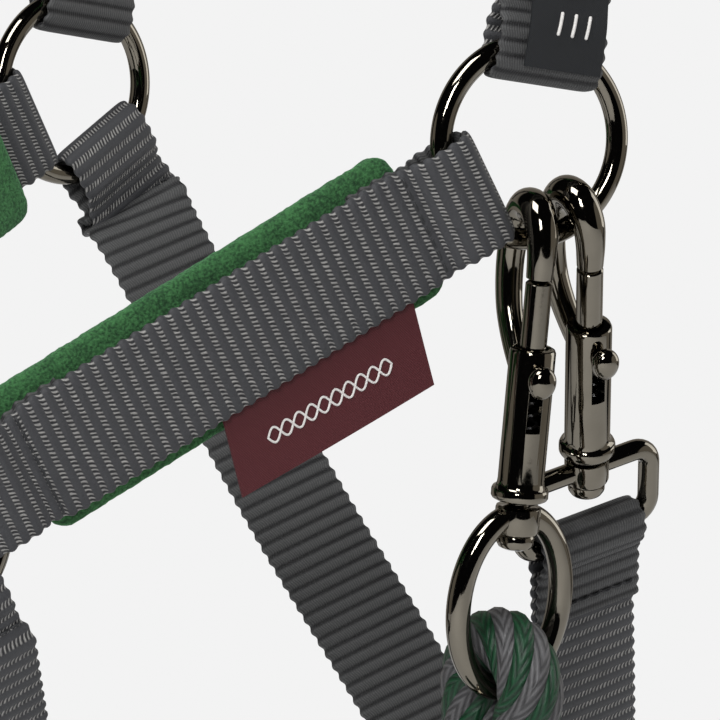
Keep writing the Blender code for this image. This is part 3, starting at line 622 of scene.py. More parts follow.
def softened(rows, times, closed=False):
    """Rows averaged with their neighbours, so that corners turn round. An open line keeps its ends."""
    for _ in range(times):
        if closed:
            rows = (np.roll(rows, 1, axis=0) + 2 * rows + np.roll(rows, -1, axis=0)) / 4
        else:
            rows = np.vstack([rows[:1], (rows[:-2] + 2 * rows[1:-1] + rows[2:]) / 4, rows[-1:]])
    return rows


def line_ways(points, closed=False):
    if closed:
        return unit(np.roll(points, -1, axis=0) - np.roll(points, 1, axis=0))
    return unit(np.gradient(points, axis=0))


def tube_mesh(name, points, radii, side_way, closed=False, sides=28, cap=0.0):
    """A round bar along points in the plane that side_way is square to. cap rounds its ends by that share."""
    points = as_array(points)
    radii = np.broadcast_to(np.asarray(radii, float), len(points))
    ways = line_ways(points, closed)
    across = unit(np.cross(np.tile(tuple(side_way), (len(points), 1)), ways))
    up = np.cross(ways, across)
    if cap:
        ends = [(share, math.sqrt(1 - share ** 2)) for share in CAP_SHARES]
        head = [(points[0] - ways[0] * radii[0] * cap * s, radii[0] * r) for s, r in reversed(ends)]
        tail = [(points[-1] + ways[-1] * radii[-1] * cap * s, radii[-1] * r) for s, r in ends]
        points = np.vstack([[p for p, _ in head], points, [p for p, _ in tail]])
        radii = np.concatenate([[r for _, r in head], radii, [r for _, r in tail]])
        across = np.vstack([[across[0]] * len(ends), across, [across[-1]] * len(ends)])
        up = np.vstack([[up[0]] * len(ends), up, [up[-1]] * len(ends)])
    radii = radii[:, None, None]
    return skin(name, ovals(points, across, up, radii, radii, sides), closed)


def turned_mesh(name, profile, origin, axis, sides=48):
    """A turned solid from (height, radius) pairs, capped at its first and last."""
    across = axis.orthogonal().normalized()
    up = axis.cross(across)
    angles = np.linspace(0, 2 * np.pi, sides, endpoint=False)
    circle = np.cos(angles)[:, None] * np.array(across) + np.sin(angles)[:, None] * np.array(up)
    rings = np.array([np.array(origin + axis * h) + r * circle for h, r in profile])
    return skin(name, rings)


def helper(mesh):
    thing = bpy.data.objects.new(mesh.name, mesh)
    bpy.context.scene.collection.objects.link(thing)
    return thing


def combined(first, *steps):
    """The mesh of first after joining or cutting the others, each given as (operation, mesh)."""
    target = helper(first)
    others = []
    for operation, mesh in steps:
        other = helper(mesh)
        others.append(other)
        modifier = target.modifiers.new(mesh.name, "BOOLEAN")
        modifier.operation = operation
        modifier.object = other
        modifier.solver = "EXACT"
    bpy.context.view_layer.update()
    result = bpy.data.meshes.new_from_object(target.evaluated_get(bpy.context.evaluated_depsgraph_get()))
    for thing in [target, *others]:
        bpy.data.objects.remove(thing)
    result.materials.clear()
    return result


def creased(mesh, degrees=35):
    mesh.shade_smooth()
    mesh.set_sharp_from_angle(angle=math.radians(degrees))
    return mesh


def rounded_rectangle(centre, across, up, half_width, half_height, corner, steps=10):
    points = []
    corners = ((1, 1, 0), (-1, 1, 90), (-1, -1, 180), (1, -1, 270))
    for sx, sy, start in corners:
        hub = centre + across * sx * (half_width - corner) + up * sy * (half_height - corner)
        for k in range(steps + 1):
            angle = math.radians(start + 90 * k / steps)
            points.append(hub + corner * (math.cos(angle) * across + math.sin(angle) * up))
    return points


def block_mesh(name, centre, axes, half_sizes):
    a, b, c = [axis * half for axis, half in zip(axes, half_sizes)]
    outline = [-a - b, a - b, a + b, -a + b]
    rings = as_array([centre + p + c * s for s in (-1, 1) for p in outline]).reshape(2, 4, 3)
    mesh = skin(name, rings)
    mesh.shade_flat()
    return mesh


# ---- webbing ----

EDGE_COLUMNS = (0.915, 0.955, 0.985, 1)
COLUMNS = np.array([*(-x for x in reversed(EDGE_COLUMNS)), *np.linspace(-0.86, 0.86, 21), *EDGE_COLUMNS])
EDGE_ROUNDNESS = 14
FLOAT_ROW_AT = 0.27


def webbing_mesh(name, stations, width_scale=1.0, thick_scale=1.0, closed=False):
    """Ribbed webbing along (point, width direction times width) stations."""
    points, across, at = even_stations(stations, RIB_PITCH / STEPS_PER_RIB, closed)
    points, across = softened(points, 6, closed), softened(across, 6, closed)
    ways = line_ways(points, closed)
    out = unit(np.cross(across, ways))
    half = np.cross(ways, out) * np.linalg.norm(across, axis=1, keepdims=True) / 2
    phase = at / RIB_PITCH
    wave = np.cos(2 * np.pi * (phase - FLOAT_ROW_AT))
    scallop = 1 + EDGE_SCALLOP * wave / (WEB_WIDTH / 2)
    outer = (OUTER_BASE + OUTER_RIB * (0.5 + 0.5 * wave)) * thick_scale
    inner = (INNER_BASE + INNER_RIB * np.abs(np.sin(np.pi * phase)) ** 0.8) * thick_scale
    edge = np.sqrt(np.maximum(0, 1 - np.abs(COLUMNS) ** EDGE_ROUNDNESS))
    flat = points[:, None] + half[:, None] * (scallop[:, None] * COLUMNS)[:, :, None]
    top = flat + out[:, None] * (outer[:, None] * edge)[:, :, None]
    low = flat - out[:, None] * (inner[:, None] * edge)[:, :, None]
    floats = COLUMNS * WEB_WIDTH / 2 / FLOAT_PITCH * width_scale
    under = floats[::-1] + INNER_FACE_SHIFT
    uv = (np.append(phase, len(at) / STEPS_PER_RIB), [*floats[:-1], *under[:-1]], [*floats[1:], *under[1:]])
    return skin(name, np.concatenate([top, low[:, -2:0:-1]], axis=1), closed, uv)


def loop_end(centre, way, outward, flap_side, ring=True, flap=RING_FLAP, bar=RING_BAR,
             depth=0, width=LOOP_WIDTH):
    """Stations of a strap end: flap, fold round a bar and back, ending on the strap's main layer."""
    way = in_plane(way, outward)
    across = way.cross(outward)
    half = bar + LOOP_GAP + WEB_THICK / 2
    fold = FOLD_CENTRE if ring else -depth
    clear = BAR_CLEAR if ring else bar + GAP + depth
    merge = clear + 4 * MM
    angles = [math.pi * k / LOOP_STEPS for k in range(1, LOOP_STEPS)]
    arc = [(fold - half * math.sin(angle), half * math.cos(angle)) for angle in angles]
    line = [(flap, LAYER), (merge + TAPER, LAYER), (merge, LAYER), (clear, half), (fold, half), *arc,
            (fold, -half), (clear, -half), (merge, -LAYER), (merge + TAPER, -LAYER)]
    stations = []
    for a, b in line:
        wide = width if a < merge + TAPER / 2 else WEB_WIDTH
        stations.append((centre + way * a + outward * flap_side * b, across * wide))
    return stations


def blended(first, last, points):
    count = len(points) + 1
    return [(p, first.lerp(last, (i + 1) / count).normalized() * WEB_WIDTH) for i, p in enumerate(points)]


def between(start, points, end, steps=12):
    return smooth_line([start[-1][0], *points, end[-1][0]], steps)[1:-1]


def looped(start, points, end):
    """Stations of a whole strap, from one loop's flap to the other's."""
    end = [(p, -across) for p, across in reversed(end)]
    return [*start, *blended(start[-1][1], end[0][1], points), *end]


def strap(node, stations, material, outward):
    """The webbing of a strap, its outer face on the side that outward points to."""
    return dress(node, "webbing", webbing_mesh(node, faced(stations, outward)), material)


def faced(stations, outward):
    sign = outer_face_sign(stations, outward)
    return [(p, across * sign) for p, across in stations]


def outer_face_sign(stations, outward):
    """1 where the ribbon's own outward side is the side that outward points to."""
    index = len(stations) // 2
    way = stations[index + 1][0] - stations[index - 1][0]
    return 1 if stations[index][1].cross(way).dot(outward) > 0 else -1


def stitch_row(name, start, end, outward, material, pitch=2.6 * MM, thread=0.3 * MM):
    """Stitches from start to end, each a bowed thread that dips into the cloth at both ends."""
    span = end - start
    count = max(1, round(span.length / pitch))
    way, meshes = span.normalized(), []
    for i in range(count):
        centre = start + span * (i + 0.5) / count
        shares = [k / 3 for k in range(-3, 4)]
        points = [centre + way * t * pitch * 0.42 + outward * thread * (1.1 - 1.9 * t ** 4) for t in shares]
        meshes.append(tube_mesh(name, points, thread, outward, sides=8, cap=0.8))
    return add_piece(name, joined(name, meshes), [material], "halter", "webbing")


def joined(name, meshes):
    bm = bmesh.new()
    for mesh in meshes:
        bm.from_mesh(mesh)
    result = bpy.data.meshes.new(name)
    bm.to_mesh(result)
    bm.free()
    for mesh in meshes:
        bpy.data.meshes.remove(mesh)
    result.shade_smooth()
    return result


# ---- pads ----

def rounded_ends(ends, reach, least):
    return np.sqrt(np.clip(1 - (1 - np.clip(ends / reach, 0, 1)) ** 2, least, 1))


def pad_mesh(name, stations, width, thick):
    """A crowned pad whose pile stands up in fine tufts, a little flatter on the strap's side."""
    points, across, at = even_stations(stations, PAD_STEP)
    points = softened(points, 8)
    ways = line_ways(points)
    out = unit(np.cross(across, ways))
    side = unit(np.cross(ways, out))
    ends = np.minimum(at, at[-1] - at)
    half_width = width / 2 - PAD_CORNER * (1 - rounded_ends(ends, PAD_CORNER, 0)) - PILE_HEIGHT
    half_thick = (thick / 2 - PILE_HEIGHT) * rounded_ends(ends, PAD_EDGE, 0.002)
    angles = np.linspace(0, 2 * np.pi, PAD_SIDES, endpoint=False)
    flat = np.sign(np.cos(angles)) * np.abs(np.cos(angles)) ** 0.28
    crown = np.sign(np.sin(angles)) * np.abs(np.sin(angles)) ** 0.55
    height = crown * np.where(crown > 0, 0.93, 1.0)
    rings = (points[:, None] + side[:, None] * (half_width[:, None] * flat)[:, :, None]
             + out[:, None] * (half_thick[:, None] * height)[:, :, None])
    edgeways = (np.abs(flat) ** 6 * np.sign(flat))[None, :, None]
    away = unit(side[:, None] * edgeways + out[:, None] * crown[None, :, None])
    lift = np.array([[pile(Vector(point)) for point in ring] for ring in rings])
    return skin(name, rings + away * (lift * PILE_HEIGHT)[:, :, None])


def pile(point):
    place = point * 900
    return noise.noise(place) + 0.6 * noise.noise(place * 0.37 + Vector((7, 3, 1)))


def lining(stations, centre, distance):
    """The stations of a pad behind a strap's, on the side towards centre."""
    ways = line_ways(as_array([p for p, _ in stations]))
    moved = []
    for (point, across), way in zip(stations, ways):
        out = facing(across.cross(Vector(way)).normalized(), centre - point)
        moved.append((point + out * distance, across.normalized()))
    return moved


def add_pad(node, stations, width, thick, plush):
    dress(node, "plush", pad_mesh(node, stations, width, thick), plush)


# ---- lead rope: first, because its route is the CAD's ----

def smooth_share(value):
    value = min(1.0, max(0.0, value))
    return value * value * (3 - 2 * value)


def hank_centre_line(share):
    """A point and its outward way on the hank's middle loop, as (across, up), from the top by the left."""
    radius, waist, reach = HANK_BUNDLE_RADIUS, HANK_BUNDLE_WAIST, HANK_LOOP_AT
    arc, side = math.pi / 2 * radius, 2 * reach
    total = 4 * arc + 2 * side
    gone = (share % 1) * total
    if gone < arc or gone > total - arc:
        return on_arc(math.pi / 2 + (gone if gone < arc else gone - total) / radius, reach)
    gone -= arc
    if gone < side or gone > side + 2 * arc:
        up = reach - gone if gone < side else gone - side - 2 * arc - reach
        sign = -1 if gone < side else 1
        width = waist + (radius - waist) * (1 - math.cos(math.pi * abs(up) / reach)) / 2
        return (sign * width, up), (sign, 0)
    return on_arc(math.pi + (gone - side) / radius, -reach)


def on_arc(angle, height):
    cos, sin = math.cos(angle), math.sin(angle)
    return (HANK_BUNDLE_RADIUS * cos, height + HANK_BUNDLE_RADIUS * sin), (cos, sin)


def hank_route(centre):
    """Three and a half turns. Each run moves a quarter turn round the bundle as it comes over the top."""
    points = []
    move_at, move_length = HANK_MOVE
    for turn in np.linspace(HANK_START, HANK_TURNS - HANK_START, HANK_STEPS + 1):
        (a, b), (na, nb) = hank_centre_line(turn)
        moved = math.floor(turn) + smooth_share((turn % 1 - move_at) / move_length)
        angle = math.radians(-45 - 90 * moved)
        outward, depth = HANK_SPREAD * math.cos(angle), HANK_SPREAD * math.sin(angle)
        points.append(centre + Vector((a + na * outward, depth, b + nb * outward)))
    return points


def rope_route():
    """The route of the rope's middle: its spliced eye over the snap's oval, the drop and the tied hank."""
    bar, _, sideways = oval_axes()
    deep, neck = FERRULE_TOP_DROP + 5 * MM, FERRULE_TOP_DROP - 5 * MM
    angles = [math.pi * k / 12 for k in range(13)]
    arc = [(ROPE_LOOP * math.cos(angle), -ROPE_LOOP * math.sin(angle)) for angle in angles]
    legs = [(ROPE_LEG, deep), (ROPE_LEG, FERRULE_TOP_DROP), (ROPE_LEG + MM, neck), *arc,
            (-ROPE_LEG - MM, neck), (-ROPE_LEG, FERRULE_TOP_DROP), (-ROPE_LEG / 2, deep + MM)]
    eye = [bar + sideways * a + LEAD.down * b for a, b in legs]
    ferrule_end = bar + LEAD.down * (FERRULE_TOP_DROP + FERRULE_SIZE[2] + GAP)
    bend = ferrule_end + LEAD.down * ROPE_DROP / 3
    centre = Vector((bend.x, bend.y, ferrule_end.z - ROPE_DROP - GAP - HANK_HALF_LENGTH))
    entry, leaving = [[centre + mm(*place) for place in route] for route in (ENTRY_ROUTE, LEAVING_ROUTE)]
    points = smooth_line([*eye, ferrule_end, *entry, *hank_route(centre), *leaving], 4)
    return softened(even_points(points, STRAND_STEP), 4), centre


def eye_at(snap):
    """How far down the barrel's axis the middle of the eye's lowest bar is."""
    bar = OVAL_BAR if snap is LEAD else FRAME_EYE_BAR
    corners = frame["nodes"][f"{snap.name}_eye"].data.vertices
    return max((Vector(corner.co) - snap.top).dot(snap.down) for corner in corners) - bar


def steady_frames(points):
    """Ways across a line that don't twist round it."""
    ways = line_ways(points)
    across = np.zeros_like(points)
    across[0] = unit(np.cross(ways[0], (0.3, 0.9, 0.2)))
    for i in range(1, len(points)):
        carried = across[i - 1] - ways[i] * across[i - 1].dot(ways[i])
        across[i] = carried / np.linalg.norm(carried)
    return across, np.cross(ways, across)


def strand_mesh(points, across, up, number):
    """One strand, laid in a helix round the rope's middle."""
    at = distances(points)
    turn = 2 * np.pi * (at / STRAND_LAY + number / STRAND_COUNT)
    radial = np.cos(turn)[:, None] * across + np.sin(turn)[:, None] * up
    centres = points + radial * STRAND_CENTRE
    ways = line_ways(centres)
    side = unit(np.cross(ways, radial))
    rings = ovals(centres, side, np.cross(side, ways), STRAND_HALF_WIDTH, STRAND_HALF_THICK, STRAND_SIDES)
    around = np.arange(STRAND_SIDES + 1) / STRAND_SIDES
    return skin("strand", rings, uv=(at / MM, around[:-1], around[1:]))


def make_plait(points, green, grey):
    across, up = steady_frames(points)
    meshes = [strand_mesh(points, across, up, number) for number in range(STRAND_COUNT)]
    colours = [number % 2 for number, mesh in enumerate(meshes) for _ in mesh.polygons]
    mesh = joined("lead_rope_plait", meshes)
    mesh.polygons.foreach_set("material_index", colours)
    nodes = ["rope_eye", "rope_drop", "rope_hank"]
    return add_piece(mesh.name, mesh, [green, grey], "lead_eye", "rope", nodes)


def make_whipping(points, thread):
    """Turns of thread round the rope's last part, and its rounded tip."""
    way = Vector(points[-1] - points[-4]).normalized()
    profile = [(-WHIPPING_LENGTH, ROPE_RADIUS - 0.6 * MM)]
    for k in range(WHIPPING_TURNS):
        low = -WHIPPING_LENGTH + k * WHIPPING_PITCH
        profile += [(low, ROPE_RADIUS - 0.1 * MM), (low + WHIPPING_PITCH / 2, ROPE_RADIUS + 0.35 * MM)]
    profile += [(h * MM, ROPE_RADIUS - inset * MM) for h, inset in ((0.4, 0.4), (1.4, 2.4), (1.6, 5))]
    mesh = turned_mesh("whipping", profile, Vector(points[-1]), way)
    return add_piece("lead_rope_whipping", mesh, [thread], "lead_eye", "rope", ["rope_end"])


def make_rope(green, grey, thread, web, metal):
    points, centre = rope_route()
    rope = make_plait(points, green, grey)
    outline = rounded_rectangle(centre, X, Y, *TIE_HALF_SIZE, TIE_CORNER)
    tie = webbing_mesh("rope_tie", [(p, Z * TIE_WIDTH) for p in outline], 0.72, 0.8, closed=True)
    others = [make_whipping(points, thread), dress("rope_tie", "band", tie, web), make_ferrule(metal)]
    tuple(points[0])
    [tuple(p) for p in points]


def make_ferrule(metal):
    """A pressed ring that closes the rope's eye, with three crimped grooves."""
    bar, across, sideways = oval_axes()
    half = FERRULE_SIZE[2] / 2
    rings = []
    for share in np.linspace(-1, 1, FERRULE_ROWS):
        inset = 1.1 * MM * max(0, abs(share) - 0.86) / 0.14 + 0.45 * MM * math.cos(share * math.pi * 3.4) ** 8
        middle_point = bar + LEAD.down * (FERRULE_TOP_DROP + half + half * share)
        sizes = (FERRULE_SIZE[0] - inset, FERRULE_SIZE[1] - inset)
        rings.append(as_array(rounded_rectangle(middle_point, across, sideways, *sizes, FERRULE_CORNER, 8)))
    return dress("rope_ferrule", "pressed", creased(skin("rope_ferrule", np.array(rings)), 50), metal)


def oval_axes():
    """The middle of the oval eye's lowest bar, the way along the bar, and the way square to it."""
    across = in_plane(X, LEAD.down)
    return LEAD.at(eye_at(LEAD)), across, across.cross(LEAD.down)


# ---- rings and straps ----

def make_ring(node, outward, metal):
    along = in_plane(Z if abs(outward.z) < 0.9 else X, outward)
    points = [middle(node) + RING_RADIUS * way for way in circle(OUTLINE_STEPS, along, outward.cross(along))]
    dress(node, "polished", tube_mesh(node, points, RING_BAR, outward, closed=True), metal)


def make_rings(metal):
    for side, word in SIDE_NAMES.items():
        make_ring(f"throat_ring_{word}", throat_outward(side), metal)
        make_ring(f"nose_ring_{word}", nose_outward(side), metal)
    make_ring("chin_ring", CHIN_OUTWARD, metal)


def make_cheek(side, web, plush, thread):
    """The cheek strap, its loops turned inward, with the plush pad behind it."""
    word, way, outward = SIDE_NAMES[side], cheek_way(side), nose_outward(side)
    back, front = cheek_end(side, THROAT[side]), cheek_end(side, NOSE[side])
    start = loop_end(back, way, throat_outward(side), -1, width=WIDE_LOOP)
    end = loop_end(front, -way, outward, -1)
    strap(f"cheek_strap_{word}", looped(start, between(start, [], end, 30), end), web, outward)
    inset = outward * -(LAYER + WEB_THICK / 2 + GAP + PAD_THICK / 2)
    first, last = back + way * PAD_START + inset, front - way * PAD_START + inset
    line = [(first.lerp(last, k / 40), way.cross(outward)) for k in range(41)]
    add_pad(f"cheek_pad_{word}", line, PAD_WIDTH, PAD_THICK, plush)
    row_stitches(f"cheek_stitch_{word}_back", back, way, throat_outward(side), thread)
    row_stitches(f"cheek_stitch_{word}_front", front, -way, outward, thread)


def row_stitches(name, centre, way, outward, thread, along=STITCH_AT, rise=STITCH_RISE):
    """One row of stitches across a strap's end, that far along from the bar it loops round."""
    way = in_plane(way, outward)
    half = way.cross(outward) * STITCH_HALF_WIDTH
    base = centre + way * along + outward * rise
    stitch_row(name, base - half, base + half, outward, thread)


def make_noseband(web, plush, thread):
    start, end = [loop_end(NOSE[side], nose_up(side), nose_outward(side), -1) for side in (NEAR, FAR)]
    half = [mm(-193, -53, -215), mm(-201, -31, -200)]
    route = [*half, mm(-204, 0, -194), *[mirrored(p) for p in reversed(half)]]
    stations = looped(start, between(start, route, end), end)
    strap("noseband_strap", stations, web, -X)
    drop = LAYER + WEB_THICK * 1.5 + GAP * 2 + PAD_THICK / 2
    pad = lining(stations[len(start):-len(end)], (NOSE[NEAR] + NOSE[FAR]) / 2, drop)
    add_pad("noseband_pad", pad[6:-6], PAD_WIDTH, PAD_THICK, plush)
    for side, word in SIDE_NAMES.items():
        row_stitches(f"noseband_stitch_{word}", NOSE[side], nose_up(side), nose_outward(side), thread)


def make_chin_straps(web, thread):
    for side, word in SIDE_NAMES.items():
        down, outward, level = -nose_up(side), nose_outward(side), Y * side
        start = loop_end(NOSE[side], down, outward, -1, flap=CHIN_FLAP)
        end = loop_end(CHIN, level, CHIN_OUTWARD, 1, flap=CHIN_FLAP)
        route = [mm(-150, side * 58, -298), mm(-139, side * 45, -317)]
        strap(f"chin_strap_{word}", looped(start, between(start, route, end), end), web, outward - Z)
        at = STITCH_AT - MM
        row_stitches(f"chin_stitch_{word}", NOSE[side], down, outward, thread, at)
        row_stitches(f"chin_stitch_low_{word}", CHIN, level, CHIN_OUTWARD, thread, at, STITCH_HIGH_RISE)


def make_jowl_strap(web, thread):
    """The strap from the chin ring back to a loop round the throat lash."""
    back = CHIN_OUTWARD.cross(Y)
    start = loop_end(CHIN, back, CHIN_OUTWARD, 1)
    end = loop_end(LASH_BOTTOM, -LASH_BACK, LASH_DOWN, 1, ring=False, flap=38 * MM,
                   bar=WEB_THICK + 1.2 * MM, depth=WEB_WIDTH / 2 + GAP, width=WEB_WIDTH)
    route = [mm(-85, -4, -330), mm(-45, -12, -354)]
    strap("jowl_strap", looped(start, between(start, route, end), end), web, -Z)
    row_stitches("jowl_stitch", CHIN, back, CHIN_OUTWARD, thread, rise=STITCH_HIGH_RISE)


def make_throat_lash(web, thread):
    """The strap from the far ring, under the jaw, to the throat snap's eye."""
    down, bar, far_outward = THROAT_SNAP.down, THROAT_SNAP.at(eye_at(THROAT_SNAP)), throat_outward(FAR)
    outward = facing(in_plane(LASH_WIDTH_WAY, down).cross(down), throat_outward(NEAR))
    start = loop_end(THROAT[FAR], LASH_FAR_DOWN, far_outward, -1)
    end = loop_end(bar, down, outward, 1, ring=False, flap=19 * MM, bar=FRAME_EYE_BAR, width=WEB_WIDTH)
    route = [mm(*place) for place in LASH_ROUTE]
    strap("throat_lash", looped(start, between(start, route, end), end), web, far_outward)
    ends = (("far", THROAT[FAR], LASH_FAR_DOWN, -far_outward, STITCH_AT + 3 * MM),
            ("near", bar, down, outward, 15 * MM))
    for word, centre, way, side_out, at in ends:
        row_stitches(f"lash_stitch_{word}", centre, way, side_out, thread, at, STITCH_HIGH_RISE)


def crown_arch():
    half = [mm(-8, -61, -25), mm(-4, -46, -8.5), mm(-1.5, -27, 3)]
    top = [Vector((0, y * MM, CROWN_TOP)) for y in (-9, 9)]
    return half, top, [mirrored(p) for p in reversed(half)]


def billet(side):
    across = upper_way(side).cross(upper_outward(side))
    return [(on_upper(side, a * MM, b * MM), across * WEB_WIDTH) for a, b in BILLET_LINE]


def smooth_stations(stations, steps):
    points = smooth_line([p for p, _ in stations], steps)
    ways = smooth_line([a for _, a in stations], steps)
    return list(zip(points, [w.normalized() * WEB_WIDTH for w in ways]))


def crown_cuts():
    """The slots and holes that the buckle tongues pass through."""
    for side in (NEAR, FAR):
        way, outward = upper_way(side), upper_outward(side)
        axes = (way.cross(outward), outward, way)
        yield "DIFFERENCE", block_mesh("slot", on_upper(side, BILLET_SLOT_AT, 0), axes, BILLET_SLOT_HALF)
        for along in BILLET_HOLES:
            foot, reach = on_upper(side, along, -9 * MM), 18 * MM
            profile = ((0, BILLET_HOLE_RADIUS), (reach, BILLET_HOLE_RADIUS))
            yield "DIFFERENCE", turned_mesh("hole", profile, foot, outward, 24)


def make_crown(web, plush):
    near, far = billet(NEAR), [(p, -across) for p, across in reversed(billet(FAR))]
    half, top, other = crown_arch()
    level = X * WEB_WIDTH
    arch = [*blended(near[-1][1], level, half), *[(p, level) for p in top], *blended(level, far[0][1], other)]
    stations = smooth_stations([*near, *arch, *far], 6)
    mesh = combined(webbing_mesh("crown_strap", faced(stations, Z)), *crown_cuts())
    dress("crown_strap", "webbing", mesh, web)
    drop = CROWN_PAD_THICK / 2 + WEB_THICK / 2 + 4 * GAP
    pad = lining(arch, THROAT[NEAR].lerp(THROAT[FAR], 0.5), drop)
    for index in (len(half), len(half) + 1):
        pad[index] = (Vector((0, arch[index][0].y, CROWN_PAD_THICK / 2)), X.copy())
    line = zip(*[smooth_line(list(column), 10) for column in zip(*pad)])
    add_pad("crown_pad", list(line), CROWN_PAD_WIDTH, CROWN_PAD_THICK, plush)


def make_upper(side, web, metal, thread):
    """The strap that rises from a throat ring to its buckle's heel bar, with the buckle and the keeper."""
    word, way, outward = SIDE_NAMES[side], upper_way(side), upper_outward(side)
    heel = on_upper(side, HEEL_AT, 0)
    across = way.cross(outward)
    start = loop_end(THROAT[side], way, throat_outward(side), 1, width=WIDE_LOOP)
    end = loop_end(heel, -way, outward, 1, ring=False, flap=25 * MM, bar=BUCKLE_BAR)
    stations = looped(start, between(start, [], end, 20), end)
    node = f"upper_strap_{word}"
    slot = block_mesh("slot", heel, (across, outward, way), UPPER_SLOT_HALF)
    dress(node, "webbing", combined(webbing_mesh(node, faced(stations, outward)), ("DIFFERENCE", slot)), web)
    ends = (("low", THROAT[side], way, throat_outward(side), STITCH_AT + 3 * MM),
            ("high", heel, -way, outward, 18 * MM))
    for end_word, centre, end_way, out, at in ends:
        row_stitches(f"upper_stitch_{word}_{end_word}", centre, end_way, out, thread, at, STITCH_TOP_RISE)
    make_buckle(word, heel, way, outward, metal)
    make_keeper(side, across, outward, web)


def make_buckle(word, heel, way, outward, metal):
    across = way.cross(outward)
    half = BUCKLE_LENGTH / 2
    line = rounded_rectangle(heel + way * half, across, way, BUCKLE_HALF_WIDTH, half, BUCKLE_CORNER)
    node = f"buckle_frame_{word}"
    outline = even_points(line, 1.2 * MM, closed=True)
    dress(node, "polished", tube_mesh(node, outline, BUCKLE_BAR, outward, closed=True), metal)
    turns = range(330, 89, -10)
    curl = [heel + TONGUE_LIFT * on_circle(math.radians(degrees), way, outward) for degrees in turns]
    curl += [heel + way * a * MM + outward * TONGUE_LIFT for a in (2, 5, 8, 12, 16, 20, 24, 26.5)]
    node = f"buckle_tongue_{word}"
    dress(node, "polished", tube_mesh(node, curl, TONGUE_WIRE, across, sides=20, cap=0.9), metal)


def make_keeper(side, across, outward, web):
    low, high = -LAYER - WEB_THICK / 2 - 1.5 * MM, KEEPER_TOP
    half_depth = (high - low + KEEPER_THICK) / 2
    centre = on_upper(side, KEEPER_AT, (low + high) / 2)
    half_width = WEB_WIDTH / 2 + GAP + KEEPER_THICK
    line = rounded_rectangle(centre, across, outward, half_width, half_depth, KEEPER_CORNER, 5)
    node, ribbon = f"keeper_{SIDE_NAMES[side]}", [(p, upper_way(side) * KEEPER_WIDTH) for p in line]
    dress(node, "webbing", webbing_mesh(node, ribbon, 0.36, 0.7, closed=True), web)


# ---- labels ----

LABEL_STEP = 0.8 * MM
LABEL_THICK = 0.5 * MM
THREAD_LIFT = 0.08 * MM
SIDE_LABEL_LENGTH, SIDE_LABEL_WIDTH = 46.4 * MM, 18.6 * MM
SIZE_LABEL_LENGTH, SIZE_LABEL_WIDTH = 30 * MM, 17 * MM


def label_mesh(name, place, length, width, bow):
    """A thin cloth tab. place(a, b, out) gives a point, and bow(a, b) how far it stands out there."""
    rows, columns = round(length / LABEL_STEP), round(width / LABEL_STEP)
    grid = []
    for i in range(rows + 1):
        for j in range(columns + 1):
            a, b = length * i / rows, width * j / columns
            grid.append((place(a, b, bow(a, b)), (a / MM, b / MM)))
    count = columns + 1
    total = len(grid)
    verts = [tuple(p + n * LABEL_THICK / 2 * side) for side in (1, -1) for (p, n), _ in grid]
    faces = []
    for i in range(rows):
        for j in range(columns):
            k = i * count + j
            faces.append((k, k + 1, k + count + 1, k + count))
            faces.append((total + k, total + k + count, total + k + count + 1, total + k + 1))
    rim = [*range(count)] + [i * count + columns for i in range(1, rows + 1)]
    rim += [rows * count + j for j in range(columns - 1, -1, -1)]
    rim += [i * count for i in range(rows - 1, 0, -1)]
    for a, b in zip(rim, rim[1:] + rim[:1]):
        faces.append((a, total + a, total + b, b))
    mesh = bpy.data.meshes.new(name)
    mesh.from_pydata(verts, [], faces)
    layer = mesh.uv_layers.new(name="weave")
    uv = [grid[index % total][1] for face in faces for index in face]
    layer.data.foreach_set("uv", np.array(uv).ravel())
    turn_outward(mesh)
    mesh.set_sharp_from_angle(angle=math.radians(60))
    return mesh


def thread_line(name, points, outward, material, radius, slot):
    lifted = [point + outward * (LABEL_THICK / 2 + THREAD_LIFT) for point in points]
    mesh = tube_mesh(name, lifted, radius, outward, sides=8, cap=0.9)
    add_piece(name, mesh, [material], "halter", slot)


def make_side_label(maroon, cream):
    """The tab under the near cheek strap, with a plain woven wave in place of any mark."""
    way, outward = cheek_way(NEAR), nose_outward(NEAR)
    behind = LAYER - (WEB_THICK / 2 + GAP + LABEL_THICK / 2)
    top = (cheek_end(NEAR, THROAT[NEAR]) + outward * behind + cheek_low(NEAR) * (WEB_WIDTH / 2 - 2.2 * MM)
           + way * 36.5 * MM)
    length, width = SIDE_LABEL_LENGTH, SIDE_LABEL_WIDTH
    hang = (in_plane(-Z, outward) - way * 0.27).normalized()

    def place(a, b, out):
        droop = 1.4 * MM * (1 - a / length) * b / width
        return top + way * a + hang * (b + droop) + outward * out, outward

    def bow(a, b):
        return (0.5 * math.sin(3.2 * a / length + 0.4) * MM) * (b / width) ** 2

    label = dress("side_label", "cloth", label_mesh("side_label", place, length, width, bow), maroon)
    for number, rise in enumerate((1.5, -1.5)):
        points = []
        for k in range(97):
            a, b = (8 + 30 * k / 96) * MM, (10.6 + rise * math.sin(2 * math.pi * 5 * k / 96)) * MM
            points.append(place(a, b, bow(a, b))[0])
        thread_line(f"side_label_wave_{number}", points, outward, cream, 0.24 * MM, "maroon_label")


